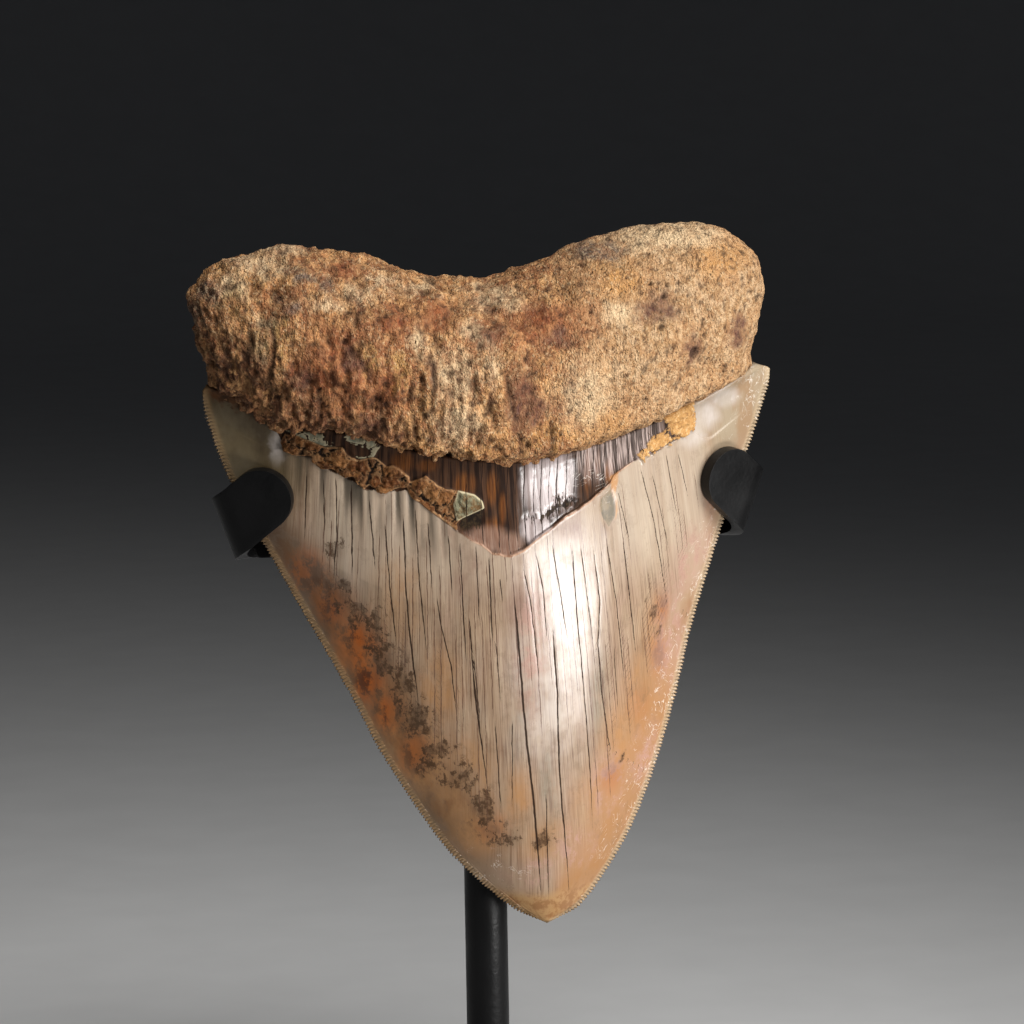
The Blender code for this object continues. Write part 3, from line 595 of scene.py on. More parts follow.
def node_tools(tree):
    """Short ways to add nodes to a tree and join them."""
    nodes, links = tree.nodes, tree.links

    def put(socket, value):
        if isinstance(value, bpy.types.NodeSocket):
            links.new(value, socket)
        elif isinstance(value, (tuple, list)) and len(value) == 3 and socket.type == "RGBA":
            socket.default_value = (*value, 1.0)
        else:
            socket.default_value = value

    def mask(attribute):
        node = nodes.new("ShaderNodeAttribute")
        node.attribute_name = attribute
        return node.outputs["Fac"]

    def mapped(scale, source="Object"):
        if source == "Object":
            start = nodes.new("ShaderNodeTexCoord").outputs["Object"]
        else:
            node = nodes.new("ShaderNodeUVMap")
            node.uv_map = source
            start = node.outputs["UV"]
        mapping = nodes.new("ShaderNodeMapping")
        links.new(start, mapping.inputs["Vector"])
        mapping.inputs["Scale"].default_value = scale
        return mapping.outputs["Vector"]

    def grain(vector, detail=3.0, roughness=0.6, low=0.35, high=0.65):
        node = nodes.new("ShaderNodeTexNoise")
        links.new(vector, node.inputs["Vector"])
        node.inputs["Scale"].default_value = 1.0
        node.inputs["Detail"].default_value = detail
        node.inputs["Roughness"].default_value = roughness
        return spread(node.outputs["Fac"], low, high)

    def spread(value, low, high, to_low=0.0, to_high=1.0):
        node = nodes.new("ShaderNodeMapRange")
        put(node.inputs["Value"], value)
        put(node.inputs["From Min"], low)
        put(node.inputs["From Max"], high)
        node.inputs["To Min"].default_value, node.inputs["To Max"].default_value = to_low, to_high
        return node.outputs["Result"]

    def cells(vector, output="Distance"):
        node = nodes.new("ShaderNodeTexVoronoi")
        links.new(vector, node.inputs["Vector"])
        node.inputs["Scale"].default_value = 1.0
        return node.outputs[output]

    def maths(operation, a, b=0.0, clamp=True):
        node = nodes.new("ShaderNodeMath")
        node.operation = operation
        node.use_clamp = clamp and operation in ("ADD", "SUBTRACT")
        put(node.inputs[0], a)
        put(node.inputs[1], b)
        return node.outputs[0]

    def blend(factor, first, second):
        node = nodes.new("ShaderNodeMix")
        node.data_type = "RGBA"
        put(node.inputs["Factor"], factor)
        put(node.inputs["A"], first)
        put(node.inputs["B"], second)
        return node.outputs["Result"]

    def bump(height, strength, distance):
        node = nodes.new("ShaderNodeBump")
        put(node.inputs["Height"], height)
        node.inputs["Strength"].default_value = strength
        node.inputs["Distance"].default_value = distance
        return node.outputs["Normal"]

    return put, mask, mapped, grain, spread, cells, maths, blend, bump


def new_material(name):
    made = bpy.data.materials.new(name)
    made.use_nodes = True
    return made, made.node_tree.nodes["Principled BSDF"], node_tools(made.node_tree)


# what crumbles, on the root and along the lip alike, is grains half a millimetre across with holes between
crumbled = bpy.data.node_groups.new("crumbled_grain", "ShaderNodeTree")
for name in ("Pale", "Dark", "Hole", "Height"):
    crumbled.interface.new_socket(name=name, in_out="OUTPUT", socket_type="NodeSocketFloat")
outputs = crumbled.nodes.new("NodeGroupOutput")
put, mask, mapped, grain, spread, cells, maths, blend, bump = node_tools(crumbled)
tone = cells(mapped((2100, 2100, 1800)), "Color")
speckle = grain(mapped((1500, 1500, 1250)), 3, 0.7, 0.30, 0.70)
put(outputs.inputs["Pale"], maths("MULTIPLY", spread(tone, 0.50, 0.75), spread(speckle, 0.4, 0.8)))
put(outputs.inputs["Dark"], maths("MULTIPLY", spread(tone, 0.50, 0.28), spread(speckle, 0.6, 0.2)))
put(outputs.inputs["Hole"], grain(mapped((1900, 1900, 1600)), 2, 0.6, 0.36, 0.30))
pebbles = spread(cells(mapped((2100, 2100, 1800))), 0.7, 0.0)
put(outputs.inputs["Height"], maths("ADD", speckle, pebbles, clamp=False))


enamel, shader, tools = new_material("fossil_enamel")
put, mask, mapped, grain, spread, cells, maths, blend, bump = tools


def use_group(tree, group):
    node = tree.nodes.new("ShaderNodeGroup")
    node.node_tree = group
    return node.outputs


def part(value, share):
    return maths("MULTIPLY", value, share)


def most(first, *others):
    """The greatest of several values."""
    for other in others:
        first = maths("MAXIMUM", first, other)
    return first


def stain(name, pattern, low, high):
    """How strong a stain is: its mask, times low where the pattern is missing and high where it is full."""
    return part(mask(name), spread(pattern, 0, 1, low, high))


def laid(colour, *coats):
    """A colour with others laid over it in turn, each as thick as its own strength says."""
    for strength, coat in coats:
        colour = blend(strength, colour, coat)
    return colour


def line_at(gap, width, jitter):
    """A thin line where the gap passes through zero, as wide as the width says."""
    away = maths("ABSOLUTE", maths("ADD", mask(gap), jitter, clamp=False))
    return maths("MULTIPLY", spread(maths("DIVIDE", away, maths("MAXIMUM", mask(width), 0.001)), 1.25, 0.65),
                 spread(mask(width), 0.01, 0.045))


grains = use_group(enamel.node_tree, crumbled)
streaked = mask("streaked")
streaks = part(grain(mapped((62, 3.0, 1), "growth"), 3, 0.6), streaked)
soft_streaks = grain(mapped((26, 2.2, 1), "growth"), 2, 0.5, 0.42, 0.60)
fine_streaks = part(grain(mapped((240, 6, 1), "growth"), 3, 0.65, 0.44, 0.66), streaked)
hair_streaks = part(grain(mapped((560, 9, 1), "growth"), 2, 0.5, 0.52, 0.62), streaked)
clouds = grain(mapped((85, 85, 60)), 4, 0.65, 0.42, 0.62)
tints = grain(mapped((150, 150, 75)), 4, 0.65, 0.44, 0.60)
flecks = grain(mapped((330, 330, 240)), 4, 0.75, 0.46, 0.57)
specks = grain(mapped((900, 900, 700)), 3, 0.7, 0.44, 0.60)
shaky = grain(mapped((700, 60, 1), "growth"), 2, 0.6, 0.3, 0.7)
jitter = part(maths("SUBTRACT", shaky, 0.5, clamp=False), 0.10)
cracks = line_at("crack_gap", "crack_width", jitter)
hairlines = line_at("fine_gap", "fine_width", jitter)
mottle = spread(maths("ADD", mask("mottle"), part(flecks, 0.9), clamp=False), 0.85, 1.20)
mottle = maths("MULTIPLY", mottle, spread(specks, 0, 1, 1.0, 0.35))
# the tones of the left side and the left end: olive-brown enamel darkened further as painted shade, on the side
# away from the light
shaded_left_tone = laid(blend(clouds, (0.094, 0.058, 0.028), (0.080, 0.038, 0.014)),
                 (part(flecks, 0.5), (0.144, 0.100, 0.066)))
right_tone = laid(blend(clouds, (0.350, 0.235, 0.145), (0.300, 0.165, 0.085)),
                  (part(tints, 0.6), (0.395, 0.254, 0.190)))
shaded_end_tone = laid(blend(clouds, (0.129, 0.096, 0.05), (0.073, 0.05, 0.024)),
                (part(tints, 0.4), (0.172, 0.142, 0.086)))

# the cream enamel and its stains, down to the brown fringe under the root and the rims; painted shade darkens
# the left side, the left end, the valleys below the crust and the fringe, and a painted highlight lightens the
# middle
colour = laid(
    blend(clouds, (0.408, 0.304, 0.203), (0.275, 0.190, 0.120)),
    (part(tints, 0.6), (0.367, 0.244, 0.180)),
    (part(soft_streaks, 0.45), (0.310, 0.204, 0.134)),
    (part(streaks, 0.60), (0.261, 0.173, 0.106)),
    (part(mask("olive"), part(tints, 0.8)), (0.212, 0.180, 0.127)),
    (part(fine_streaks, 0.55), (0.204, 0.116, 0.067)),
    (part(hair_streaks, 0.55), (0.105, 0.048, 0.025)),
    # painted shade: the left side, away from the light, darkened
    (part(mask("left_side"), 0.92), shaded_left_tone),
    (part(mask("right_side"), 0.85), right_tone),
    (part(mask("pale_top"), 0.6), blend(part(streaks, 0.6), (0.48, 0.40, 0.31), (0.35, 0.26, 0.185))),
    # painted highlight: pale, near white, down the middle of the crown
    (stain("bright_middle", clouds, 0.7, 0.1), (0.55, 0.48, 0.43)),
    (stain("warm_low", clouds, 0.95, 0.5), (0.325, 0.155, 0.055)),
    (stain("rust_band", tints, 0.85, 0.3), blend(flecks, (0.150, 0.056, 0.015), (0.070, 0.026, 0.008))),
    (stain("warm", tints, 0.35, 0.9), (0.353, 0.176, 0.067)),
    (stain("browned", tints, 0.15, 0.8), (0.20, 0.115, 0.080)),
    (stain("pink", flecks, 0.15, 0.75), (0.424, 0.245, 0.194)),
    (stain("rust", tints, 0.5, 1.0), blend(flecks, (0.33, 0.082, 0.011), (0.10, 0.027, 0.007))),
    (part(mask("mottle"), 0.35), (0.13, 0.078, 0.042)),
    (part(mottle, 0.85), (0.050, 0.026, 0.013)),
    (part(mask("tip_tan"), 0.9), blend(flecks, (0.41, 0.235, 0.10), (0.29, 0.14, 0.055))),
    # painted shade in the valleys between the ribs below the crust
    (part(mask("shade"), 0.85), (0.037, 0.031, 0.022)),
    # painted shade: the left end of the crown's shoulder darkened
    (part(mask("left_end"), 0.95), shaded_end_tone),
    (part(mask("right_end"), 0.8), blend(tints, (0.34, 0.275, 0.19), (0.29, 0.19, 0.105))),
    (stain("white_end", tints, 0.5, 0.95), (0.533, 0.473, 0.43)),
    # the fringe: brown stain with painted shade under the root's overhang
    (part(mask("fringe"), 0.9), blend(flecks, (0.10, 0.040, 0.015), (0.045, 0.018, 0.008))),
    (part(mask("rim"), 0.65), blend(mask("right_side"), (0.32, 0.20, 0.095), (0.50, 0.38, 0.24))),
    (part(mask("valley"), 0.8), (0.070, 0.042, 0.020)),
    (part(hairlines, 0.85), (0.085, 0.038, 0.022)))

# the collar: dark brown and glossy, streaked along the growth lines, grey where its skin has lifted, and silver
# in the middle as a painted highlight
on_collar = spread(maths("ADD", mask("above_lip"), part(flecks, 0.25), clamp=False), 0.0, 0.35)
collar_streaks = grain(mapped((130, 5, 1), "growth"), 3, 0.6, 0.38, 0.62)
collar_fine = grain(mapped((420, 14, 1), "growth"), 3, 0.6, 0.40, 0.60)
brown_streaks = grain(mapped((85, 4, 1), "growth"), 3, 0.6, 0.49, 0.56)
grey_streaks = maths("MULTIPLY", spread(collar_fine, 0, 1, 0.15, 1.0), spread(brown_streaks, 0, 1, 1.0, 0.25))
amber = blend(collar_fine, (0.08, 0.022, 0.004), (0.19, 0.068, 0.015))
collar = laid(
    blend(collar_streaks, (0.014, 0.006, 0.003), (0.060, 0.026, 0.012)),
    (part(collar_fine, 0.35), (0.10, 0.05, 0.028)),
    (part(mask("matt_collar"), part(brown_streaks, 0.85)), (0.010, 0.004, 0.002)),
    (stain("amber", collar_streaks, 0.25, 1.0), amber),
    (part(mask("grey_streak"), grey_streaks), (0.54, 0.43, 0.39)),
    # painted highlight in the middle of the collar
    (stain("silver", collar_streaks, 0.95, 0.45), (0.50, 0.42, 0.41)),
    (part(mask("pink_zone"), 0.75), blend(collar_fine, (0.20, 0.105, 0.07), (0.30, 0.19, 0.14))))

# along the lip: broken dentine, grey-green chips, brown crust with dark joints and pale rims, and sandy ochre
frayed = spread(maths("MULTIPLY", collar_fine, spread(specks, 0, 1, 0.55, 1.0)), 0, 1, -0.75, 0.55)
broken = spread(maths("ADD", mask("broken_depth"), frayed, clamp=False), -0.05, 0.10)
chips = maths("MULTIPLY", spread(mask("chip_depth"), -0.05, 0.10), spread(mask("plate_tone"), 0.75, 0.65))
grey_green = laid(
    blend(fine_streaks, (0.21, 0.215, 0.155), (0.085, 0.085, 0.06)),
    (part(flecks, 0.5), (0.13, 0.09, 0.045)),
    (part(spread(mask("plate_edge"), 0.22, 0.10), 0.7), (0.40, 0.34, 0.22)),
    (spread(mask("plate_edge"), 0.07, 0.03), (0.018, 0.009, 0.005)))
crust_rim = maths("MULTIPLY", spread(mask("crust_depth"), 0.34, 0.10), spread(flecks, 0, 1, 0.35, 1.0))
plate_rim = maths("MULTIPLY", spread(mask("plate_edge"), 0.16, 0.07), spread(specks, 0, 1, 0.2, 0.7))
crust = laid(
    blend(spread(mask("plate_tone"), 0.1, 0.9), (0.136, 0.048, 0.014), (0.224, 0.099, 0.034)),
    (part(flecks, 0.85), (0.050, 0.016, 0.006)),
    (part(grains["Dark"], 0.6), (0.030, 0.011, 0.005)),
    (part(grains["Pale"], 0.35), (0.306, 0.184, 0.095)),
    (plate_rim, (0.326, 0.184, 0.088)),
    (spread(mask("plate_edge"), 0.075, 0.02), (0.010, 0.005, 0.003)),
    (part(crust_rim, 0.85), blend(specks, (0.50, 0.29, 0.14), (0.30, 0.14, 0.06))))
tip_flake = laid(blend(flecks, (0.20, 0.185, 0.115), (0.15, 0.085, 0.035)),
                 (spread(mask("tip_depth"), 0.40, 0.12), (0.58, 0.50, 0.32)))
on_ochre = spread(mask("ochre_depth"), -0.2, 0.15)
ochre = laid(blend(grains["Pale"], (0.50, 0.275, 0.10), (0.68, 0.45, 0.23)),
             (part(grains["Dark"], 0.6), (0.22, 0.10, 0.04)))

# scratches: short straight strokes in three directions, each a thin ridge of drawn-out noise that is broken up
strokes = []
for slant in (0.75, -0.5, 1.3):
    vector = mapped((0.0011, 0.0011, 0.0090))
    vector.node.vector_type = "TEXTURE"
    vector.node.inputs["Rotation"].default_value = (0, slant, 0)
    stroke = maths("SUBTRACT", grain(vector, 1, 0.5, 0.0, 1.0), 0.5 + 0.04 * slant, clamp=False)
    broken_up = grain(mapped((300 + 40 * slant, 300, 300)), 2, 0.6, 0.56, 0.60)
    strokes.append(maths("MULTIPLY", spread(maths("ABSOLUTE", stroke), 0.013, 0.004), broken_up))
scratches = maths("MULTIPLY", most(*strokes), mask("scratched"))
grey_patch = blend(flecks, (0.13, 0.115, 0.085), (0.22, 0.17, 0.11))
colour = laid(
    colour,
    (on_collar, collar),
    (part(broken, 0.95), blend(specks, (0.008, 0.005, 0.003), (0.04, 0.025, 0.012))),
    (chips, grey_green),
    (part(spread(mask("grey_depth"), -0.05, 0.15), 0.85), grey_patch),
    (part(mask("orange"), 0.85), (0.42, 0.20, 0.065)),
    (spread(mask("crust_depth"), -0.12, 0.06), crust),
    (spread(mask("tip_depth"), -0.05, 0.15), tip_flake),
    (on_ochre, ochre),
    (stain("ridge", flecks, 0.95, 0.45), blend(flecks, (0.50, 0.30, 0.20), (0.33, 0.15, 0.075))),
    (part(cracks, 0.95), (0.016, 0.007, 0.004)),
    (part(scratches, 0.60), (0.80, 0.74, 0.66)))
put(shader.inputs["Base Color"], colour)

# the polish is a coat over the enamel, and dull stains, cracks and crumbs have none
crumbly = most(spread(mask("crust_depth"), -0.1, 0.1), on_ochre)
dull = most(
    crumbly, broken, cracks, scratches, part(mottle, 0.85), part(mask("ridge"), 0.7), part(mask("fringe"), 0.8),
    part(mask("rust"), 0.6), part(mask("rust_band"), 0.4), part(mask("matt_collar"), part(on_collar, 0.83)))
rough = maths("ADD", spread(on_collar, 0, 1, 0.40, 0.26), part(specks, 0.08))
put(shader.inputs["Roughness"], maths("ADD", rough, part(dull, 0.45)))
put(shader.inputs["Coat Weight"], maths("SUBTRACT", 0.85, dull))
shader.inputs["Specular IOR Level"].default_value = 0.12
shader.inputs["Coat Roughness"].default_value = 0.22
relief = maths("ADD", part(fine_streaks, 0.18), part(specks, 0.10), clamp=False)
relief = maths("ADD", relief, maths("MULTIPLY", grains["Height"], part(crumbly, 1.2)), clamp=False)
relief = maths("SUBTRACT", relief, maths("ADD", part(cracks, 0.12), part(hairlines, 0.1)), clamp=False)
put(shader.inputs["Normal"], bump(relief, 0.5, 0.00014))
crown.data.materials.append(enamel)
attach(crown, "root")
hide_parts("tooth")


# ---- The root -----------------------------------------------------------------------------------
# The porous bone-like root: two rounded lobes with a shallow notch between, granular all over, its margin
# crumbling in a ragged overhang onto the crown. Iron in the sediment stained it from sand to red-brown.
ROOT_PLACES = (7.0, 7.35, 8.0, 9.0, 10.0, 11.0)
ROOT_FRONT, ROOT_BACK = 400, 200
CLOSED, TURNED_IN = -2.0, -1.0  # the two lowest rows, which turn in beneath the surface of the crown
LUMP_SIZE, LUMP_HEIGHT = 11.0, 1.3
PITS = [
    (22, 132.4, 0.5, 0.5), (20.9, 126.5, 0.6, 0.6), (28.7, 120.3, 0.9, 1.3), (23.1, 134.9, 0.4, 0.4),
    (44.5, 130.7, 0.6, 1), (6, 130.1, 0.5, 0.4), (-8.2, 103.4, 0.6, 1), (19.6, 135.3, 0.4, 0.3),
    (31, 124, 0.5, 0.6), (-57, 135, 0.6, 0.5), (-30, 118, 0.5, 0.8), (-45, 126, 0.6, 0.6),
]
FISSURES = [
    ([(-59, 128.7), (-58.6, 124), (-59.2, 119.7)], 0.3), ([(-27.5, 121.6), (-27.9, 116.5)], 0.35),
    ([(-19.3, 118.8), (-19.5, 113.7)], 0.35), ([(-16.6, 115), (-15.6, 108.4)], 0.4),
    ([(-12.6, 118.8), (-12.3, 113), (-11, 109)], 0.35), ([(-10.1, 106.4), (-9.4, 102.2)], 0.45),
    ([(-38.5, 114), (-38, 109)], 0.4), ([(-50.5, 116.5), (-49.8, 110.5)], 0.35),
    ([(-3.2, 108), (-3, 102.5)], 0.35), ([(-32, 111), (-31.2, 106)], 0.3),
]
# where each stain, and the painted shade and highlight, lies on the front: x, z, half width, half height
RED = [
    (-47.3, 120, 7, 9.5), (-34.8, 129.4, 4.3, 2.8), (-3.4, 127.9, 9.1, 3.8), (-53.9, 119.3, 2.4, 5.1),
    (-45.9, 111.4, 5.8, 2.6), (-43.9, 139.4, 2.3, 1.7), (-38, 116, 4, 5), (-26, 130, 4, 3),
]
# pale cream stains; the ovals along the top crest also stand in as a painted highlight where the top faces the
# light
CREAM_AND_HIGHLIGHT = [
    (-54.9, 144, 4.4, 1.8), (-60, 141, 5.5, 2.6), (-66, 137, 3, 2.4), (-48, 133, 3, 1.4),
    (-60.1, 129.8, 2, 1.5), (-61.4, 124.8, 1.7, 2.2), (-29.8, 124.7, 1.6, 2.6), (-23.2, 118, 4.3, 5.4),
    (-22.5, 107.9, 4.5, 4.7), (-13, 132.9, 5.3, 2.4), (-64, 143, 4, 1.6), (-36, 137, 3.5, 1.2),
    (-28, 135.5, 3.5, 1.3), (-19, 127, 2.4, 1.8), (26, 144, 11, 2.4), (3.5, 113.5, 5.4, 6),
    (-40.9, 134.7, 3.4, 2), (12.1, 129.5, 3.3, 2), (-16, 120, 1.8, 4),
]
ORANGE = [
    (-64, 140.5, 8.1, 4.1), (12.9, 135.7, 4.2, 3.7), (35.3, 139.5, 6.7, 3.3), (-22, 103.6, 9, 2.2),
    (-4, 105.5, 7, 3), (8, 107.5, 5, 2.5),
]
PURPLE = [
    (-53.5, 117.8, 2, 2.6), (-43.7, 121.8, 2.2, 2.6), (-10, 112.8, 3, 6.7), (-6.8, 111, 3, 4),
    (20.4, 129.8, 5, 2.4), (27.9, 121.6, 2.2, 2.6), (-40.1, 108.2, 2.5, 2.4), (-15.9, 126.1, 3, 2.4),
    (-28, 119, 1.4, 3.6), (-1, 124.8, 3, 1.8), (39, 124, 2.4, 3),
]
GREEN = [
    (-34.7, 119.3, 1.6, 4.4), (-40.3, 121.9, 1.6, 3.4), (-60.8, 125.7, 2.2, 2.5), (-66.2, 134.3, 2, 2.6),
    (-57.5, 127, 2.5, 3.5),
]
GREY = [
    (-70.7, 136, 2.8, 2.2), (-52.1, 138.5, 2.4, 1.8), (-55, 132.8, 2.2, 1.6), (-73.3, 130.2, 1.6, 4.2),
    (-47.5, 137, 2, 1.5), (10, 141.5, 6, 1.6),
]
# painted shade: the lower left of the root, darkened as if in shade from the light at the upper right
LOW_SHADE = [
    (-66.6, 118.2, 7.5, 7.5), (-59.8, 112.8, 7.5, 5.5), (-49.6, 108.8, 7.5, 3.2), (-38, 106, 6, 1.8),
    (-73, 124, 1.8, 4),
]

steps = row_places((7, 12, 30, 30, 52), ROOT_PLACES)
steps[steps > 10] = 10 + np.sin((steps[steps > 10] - 10) * pi / 2)
ROOT_ROWS = np.concatenate(([CLOSED, TURNED_IN], steps))
root, column, row = ring_grid("root", ROOT_FRONT + ROOT_BACK, len(ROOT_ROWS) - 1)
t = ROOT_ROWS[row]
on_front = column <= ROOT_FRONT
turn = np.where(on_front, column / ROOT_FRONT, 1 - (column - ROOT_FRONT) / ROOT_BACK)
at_end = (row == 0) | (row == len(ROOT_ROWS) - 1)
turn = np.where(at_end, np.rint(turn * ROOT_BACK) / ROOT_BACK, turn)
s = 0.15 * (2 * turn - 1) - 0.85 * np.cos(turn * pi)
tucked = t < 0
base = tooth_surface(on_front | (row == 0), s, np.where(tucked, 7.25, t), neck=True)
x, z = base[:, 0], base[:, 2]
nothing = 0 * x
# the margin crumbles: it wanders up and down, in scallops, and droops over the left end of the crust
near_margin = 1 - smooth_step(7.2, 9.0, np.where(tucked, 7.0, t))
scallops = np.abs(np.sin(pi * (x / 3.4 + 0.8 * waves(x / 6.0, nothing + 1, nothing)))) ** 0.6
wander = 0.9 - 1.5 * scallops * (0.5 + waves(x / 4.0, nothing + 4, nothing) ** 2)
wander -= 3.2 * np.exp(-((x + 56) / 6.5) ** 2) * (1 - np.abs(s) ** 12) * (on_front | (row == 0))
wander += 0.7 * waves(x / 6.0, nothing + 7, nothing) + 0.25 * waves(x / 0.8, nothing + 3, nothing)
base[:, 2] += near_margin * wander
# the crest rises and falls along the lobes
for rise, middle, reach in ((1.6, 38, 6), (-1.5, 25, 6), (1.9, -66, 5), (-0.5, -50, 6)):
    base[:, 2] += smooth_step(9.0, 10.6, t) * rise * np.exp(-((x - middle) / reach) ** 2)
base[:, 1] *= np.select([t == CLOSED, t == TURNED_IN], [0, 0.78], 1)
base[:, 2] += np.where(t == CLOSED, 3.0, 0)
place_vertices(root, base)
kept = close_seams(root)
base, t, s, on_front, tucked, nothing = (values[kept] for values in (base, t, s, on_front, tucked, nothing))
normals = vertex_normals(root)
x, y, z = base.T
wx, wy, wz = (base + TIP).T
# the relief: lumps, fibres down the middle, hollows and rougher grains on the left, crumbs all over
share = smooth_step(7.0, 8.6, t)
lift = LUMP_HEIGHT * share * (waves(wx / LUMP_SIZE, wy / LUMP_SIZE, wz / LUMP_SIZE)
                              + 0.4 * waves(wx * 2.3 / LUMP_SIZE, wy * 2.3 / LUMP_SIZE, wz * 2.3 / LUMP_SIZE))
lift -= 0.35 * share
fibrous = (0.25 + 0.75 * smooth_step(-6, -26, x)) * (1 - smooth_step(112, 132, z)) * on_front
left = smooth_step(4, -20, x)
granules = waves(x / 1.1, y / 1.1, z / 1.4, 3)
hollows = waves(x / 2.6 + 5, y / 2.6, z / 3.4, 2)
crumbs = 0.5 - np.array([noise.voronoi(p)[0][0] for p in zip(x, y, z / 1.15)])
lift += (0.30 + 0.30 * left) * waves(x / 4.2, y / 4.2, z / 4.2, 2)
lift += 0.85 * fibrous * waves(x / 1.25, y / 2.0, z / 4.5, 3)
lift += 0.65 * left * hollows + 0.16 * (1 + left) * (granules + crumbs)
pit = patch(x + 0.3 * granules, z + 0.3 * granules, PITS, 0.4) * on_front
fissure_gap, fissure_width = line_gaps(FISSURES, x + 0.4 * granules, z, on_front, 1.6)
fissure = np.exp(-(fissure_gap / 0.5) ** 2) * np.clip(fissure_width / 0.3, 0, 1)
lift -= (0.75 * pit + 0.65 * fissure) * share
base += normals * np.where(tucked, 0, lift)[:, None]
place_vertices(root, base)

blur = 1.9 * waves(x / 3.0, y / 3.0, z / 3.0, 3)
back_tones = waves(x / 12, nothing, z / 9, 2)
# besides the real pits and fissures, painted shade darkens the dips between the grains and the hollows on the
# left
pit = pit + 0.9 * smooth_step(0.10, 0.75, -granules) + 0.9 * fissure
pit = pit + 0.8 * left * smooth_step(0.20, 0.75, -hollows)
add_mask(root, "pit", np.clip(pit, 0, 1))
add_mask(root, "crest", smooth_step(0.1, 0.8, granules))
add_mask(root, "sandy", smooth_step(-4, 14, x) * (1 - 0.55 * patch(x, z, [(7.0, 143.5, 9.0, 3.0)], 0.5)))
# each stain, and the painted shade and highlight: its ovals, how far noise moves it across and up, its soft
# edge, and its share of the back
for name, spots, across, up, edge, behind in (
        ("red", RED, 1.0, 1.0, 0.7, smooth_step(0.1, 0.6, back_tones)),
        ("cream", CREAM_AND_HIGHLIGHT, 1.0, -1.0, 0.7, smooth_step(-0.1, -0.6, back_tones)),
        ("orange", ORANGE, -1.0, 1.0, 0.8, 0), ("purple", PURPLE, 0.7, 1.0, 0.6, 0),
        ("green", GREEN, 0.5, 1.0, 0.8, 0), ("grey", GREY, -0.7, 0.7, 0.6, 0), ("low", LOW_SHADE, 0.5, 0.5, 0.8, 0)):
    on_it = patch(x + across * blur, z + up * blur, spots, edge)
    add_mask(root, name, on_it * on_front + 0.5 * ~on_front * behind)
root.data.polygons.foreach_set("use_smooth", np.ones(len(root.data.polygons), bool))

bone, shader, tools = new_material("fossil_root")
put, mask, mapped, grain, spread, cells, maths, blend, bump = tools
grains = use_group(bone.node_tree, crumbled)
broad = grain(mapped((120, 120, 95)), 5, 0.65, 0.44, 0.56)
patches = grain(mapped((250, 250, 180)), 5, 0.75, 0.47, 0.53)
medium = grain(mapped((520, 520, 400)), 5, 0.75, 0.45, 0.55)
fibres = grain(mapped((700, 500, 160)), 4, 0.7, 0.45, 0.56)
dust = grain(mapped((75, 75, 60)), 4, 0.7, 0.45, 0.57)
sand = laid(blend(medium, (0.464, 0.270, 0.127), (0.648, 0.432, 0.248)),
            (part(dust, 0.6), (0.475, 0.246, 0.105)))
stained_and_shaded = most(mask("red"), mask("purple"), mask("low"))
brown_fibres = maths("MULTIPLY", fibres, maths("SUBTRACT", 1.0, mask("sandy")))
put(shader.inputs["Base Color"], laid(
    blend(broad, (0.612, 0.298, 0.111), (0.432, 0.171, 0.063)),
    (part(patches, 0.55), (0.306, 0.112, 0.042)),
    (part(medium, 0.50), (0.752, 0.446, 0.198)),
    (part(mask("sandy"), 0.9), sand),
    (stain("orange", medium, 0.45, 0.95), (0.60, 0.30, 0.10)),
    (stain("red", patches, 0.70, 1.0), blend(medium, (0.185, 0.048, 0.016), (0.31, 0.092, 0.030))),
    (stain("purple", medium, 0.7, 1.0), (0.115, 0.048, 0.034)),
    # cream stains, and a painted highlight along the top crest
    (stain("cream", medium, 0.55, 1.0), (0.78, 0.56, 0.33)),
    (stain("green", medium, 0.15, 0.55), (0.42, 0.26, 0.070)),
    (stain("grey", medium, 0.45, 0.9), (0.138, 0.114, 0.1)),
    # painted shade on the lower left of the root
    (stain("low", patches, 0.40, 1.0), (0.095, 0.036, 0.015)),
    (part(brown_fibres, 0.5), (0.156, 0.054, 0.022)),
    (part(grains["Dark"], 0.60), (0.24, 0.105, 0.045)),
    (maths("MULTIPLY", grains["Pale"], spread(stained_and_shaded, 0, 1, 0.55, 0.10)), (0.78, 0.57, 0.34)),
    (part(mask("crest"), 0.15), (0.70, 0.45, 0.22)),
    (maths("MULTIPLY", grains["Hole"], spread(dust, 0, 1, 0.35, 0.9)), (0.045, 0.018, 0.008)),
    # pits and fissures, with painted shade in the dips and hollows
    (part(mask("pit"), 0.80), (0.030, 0.012, 0.006))))
put(shader.inputs["Roughness"], spread(medium, 0, 1, 0.72, 0.92))
shader.inputs["Specular IOR Level"].default_value = 0.3
relief = maths("SUBTRACT", part(grains["Height"], 0.6), part(grains["Hole"], 0.6), clamp=False)
relief = maths("ADD", relief, part(fibres, 0.3), clamp=False)
put(shader.inputs["Normal"], bump(maths("MULTIPLY", relief, spread(stained_and_shaded, 0, 1, 1.0, 0.45)), 1.0, 0.00055))
root.data.materials.append(bone)
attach(root, "root")
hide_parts("tooth")


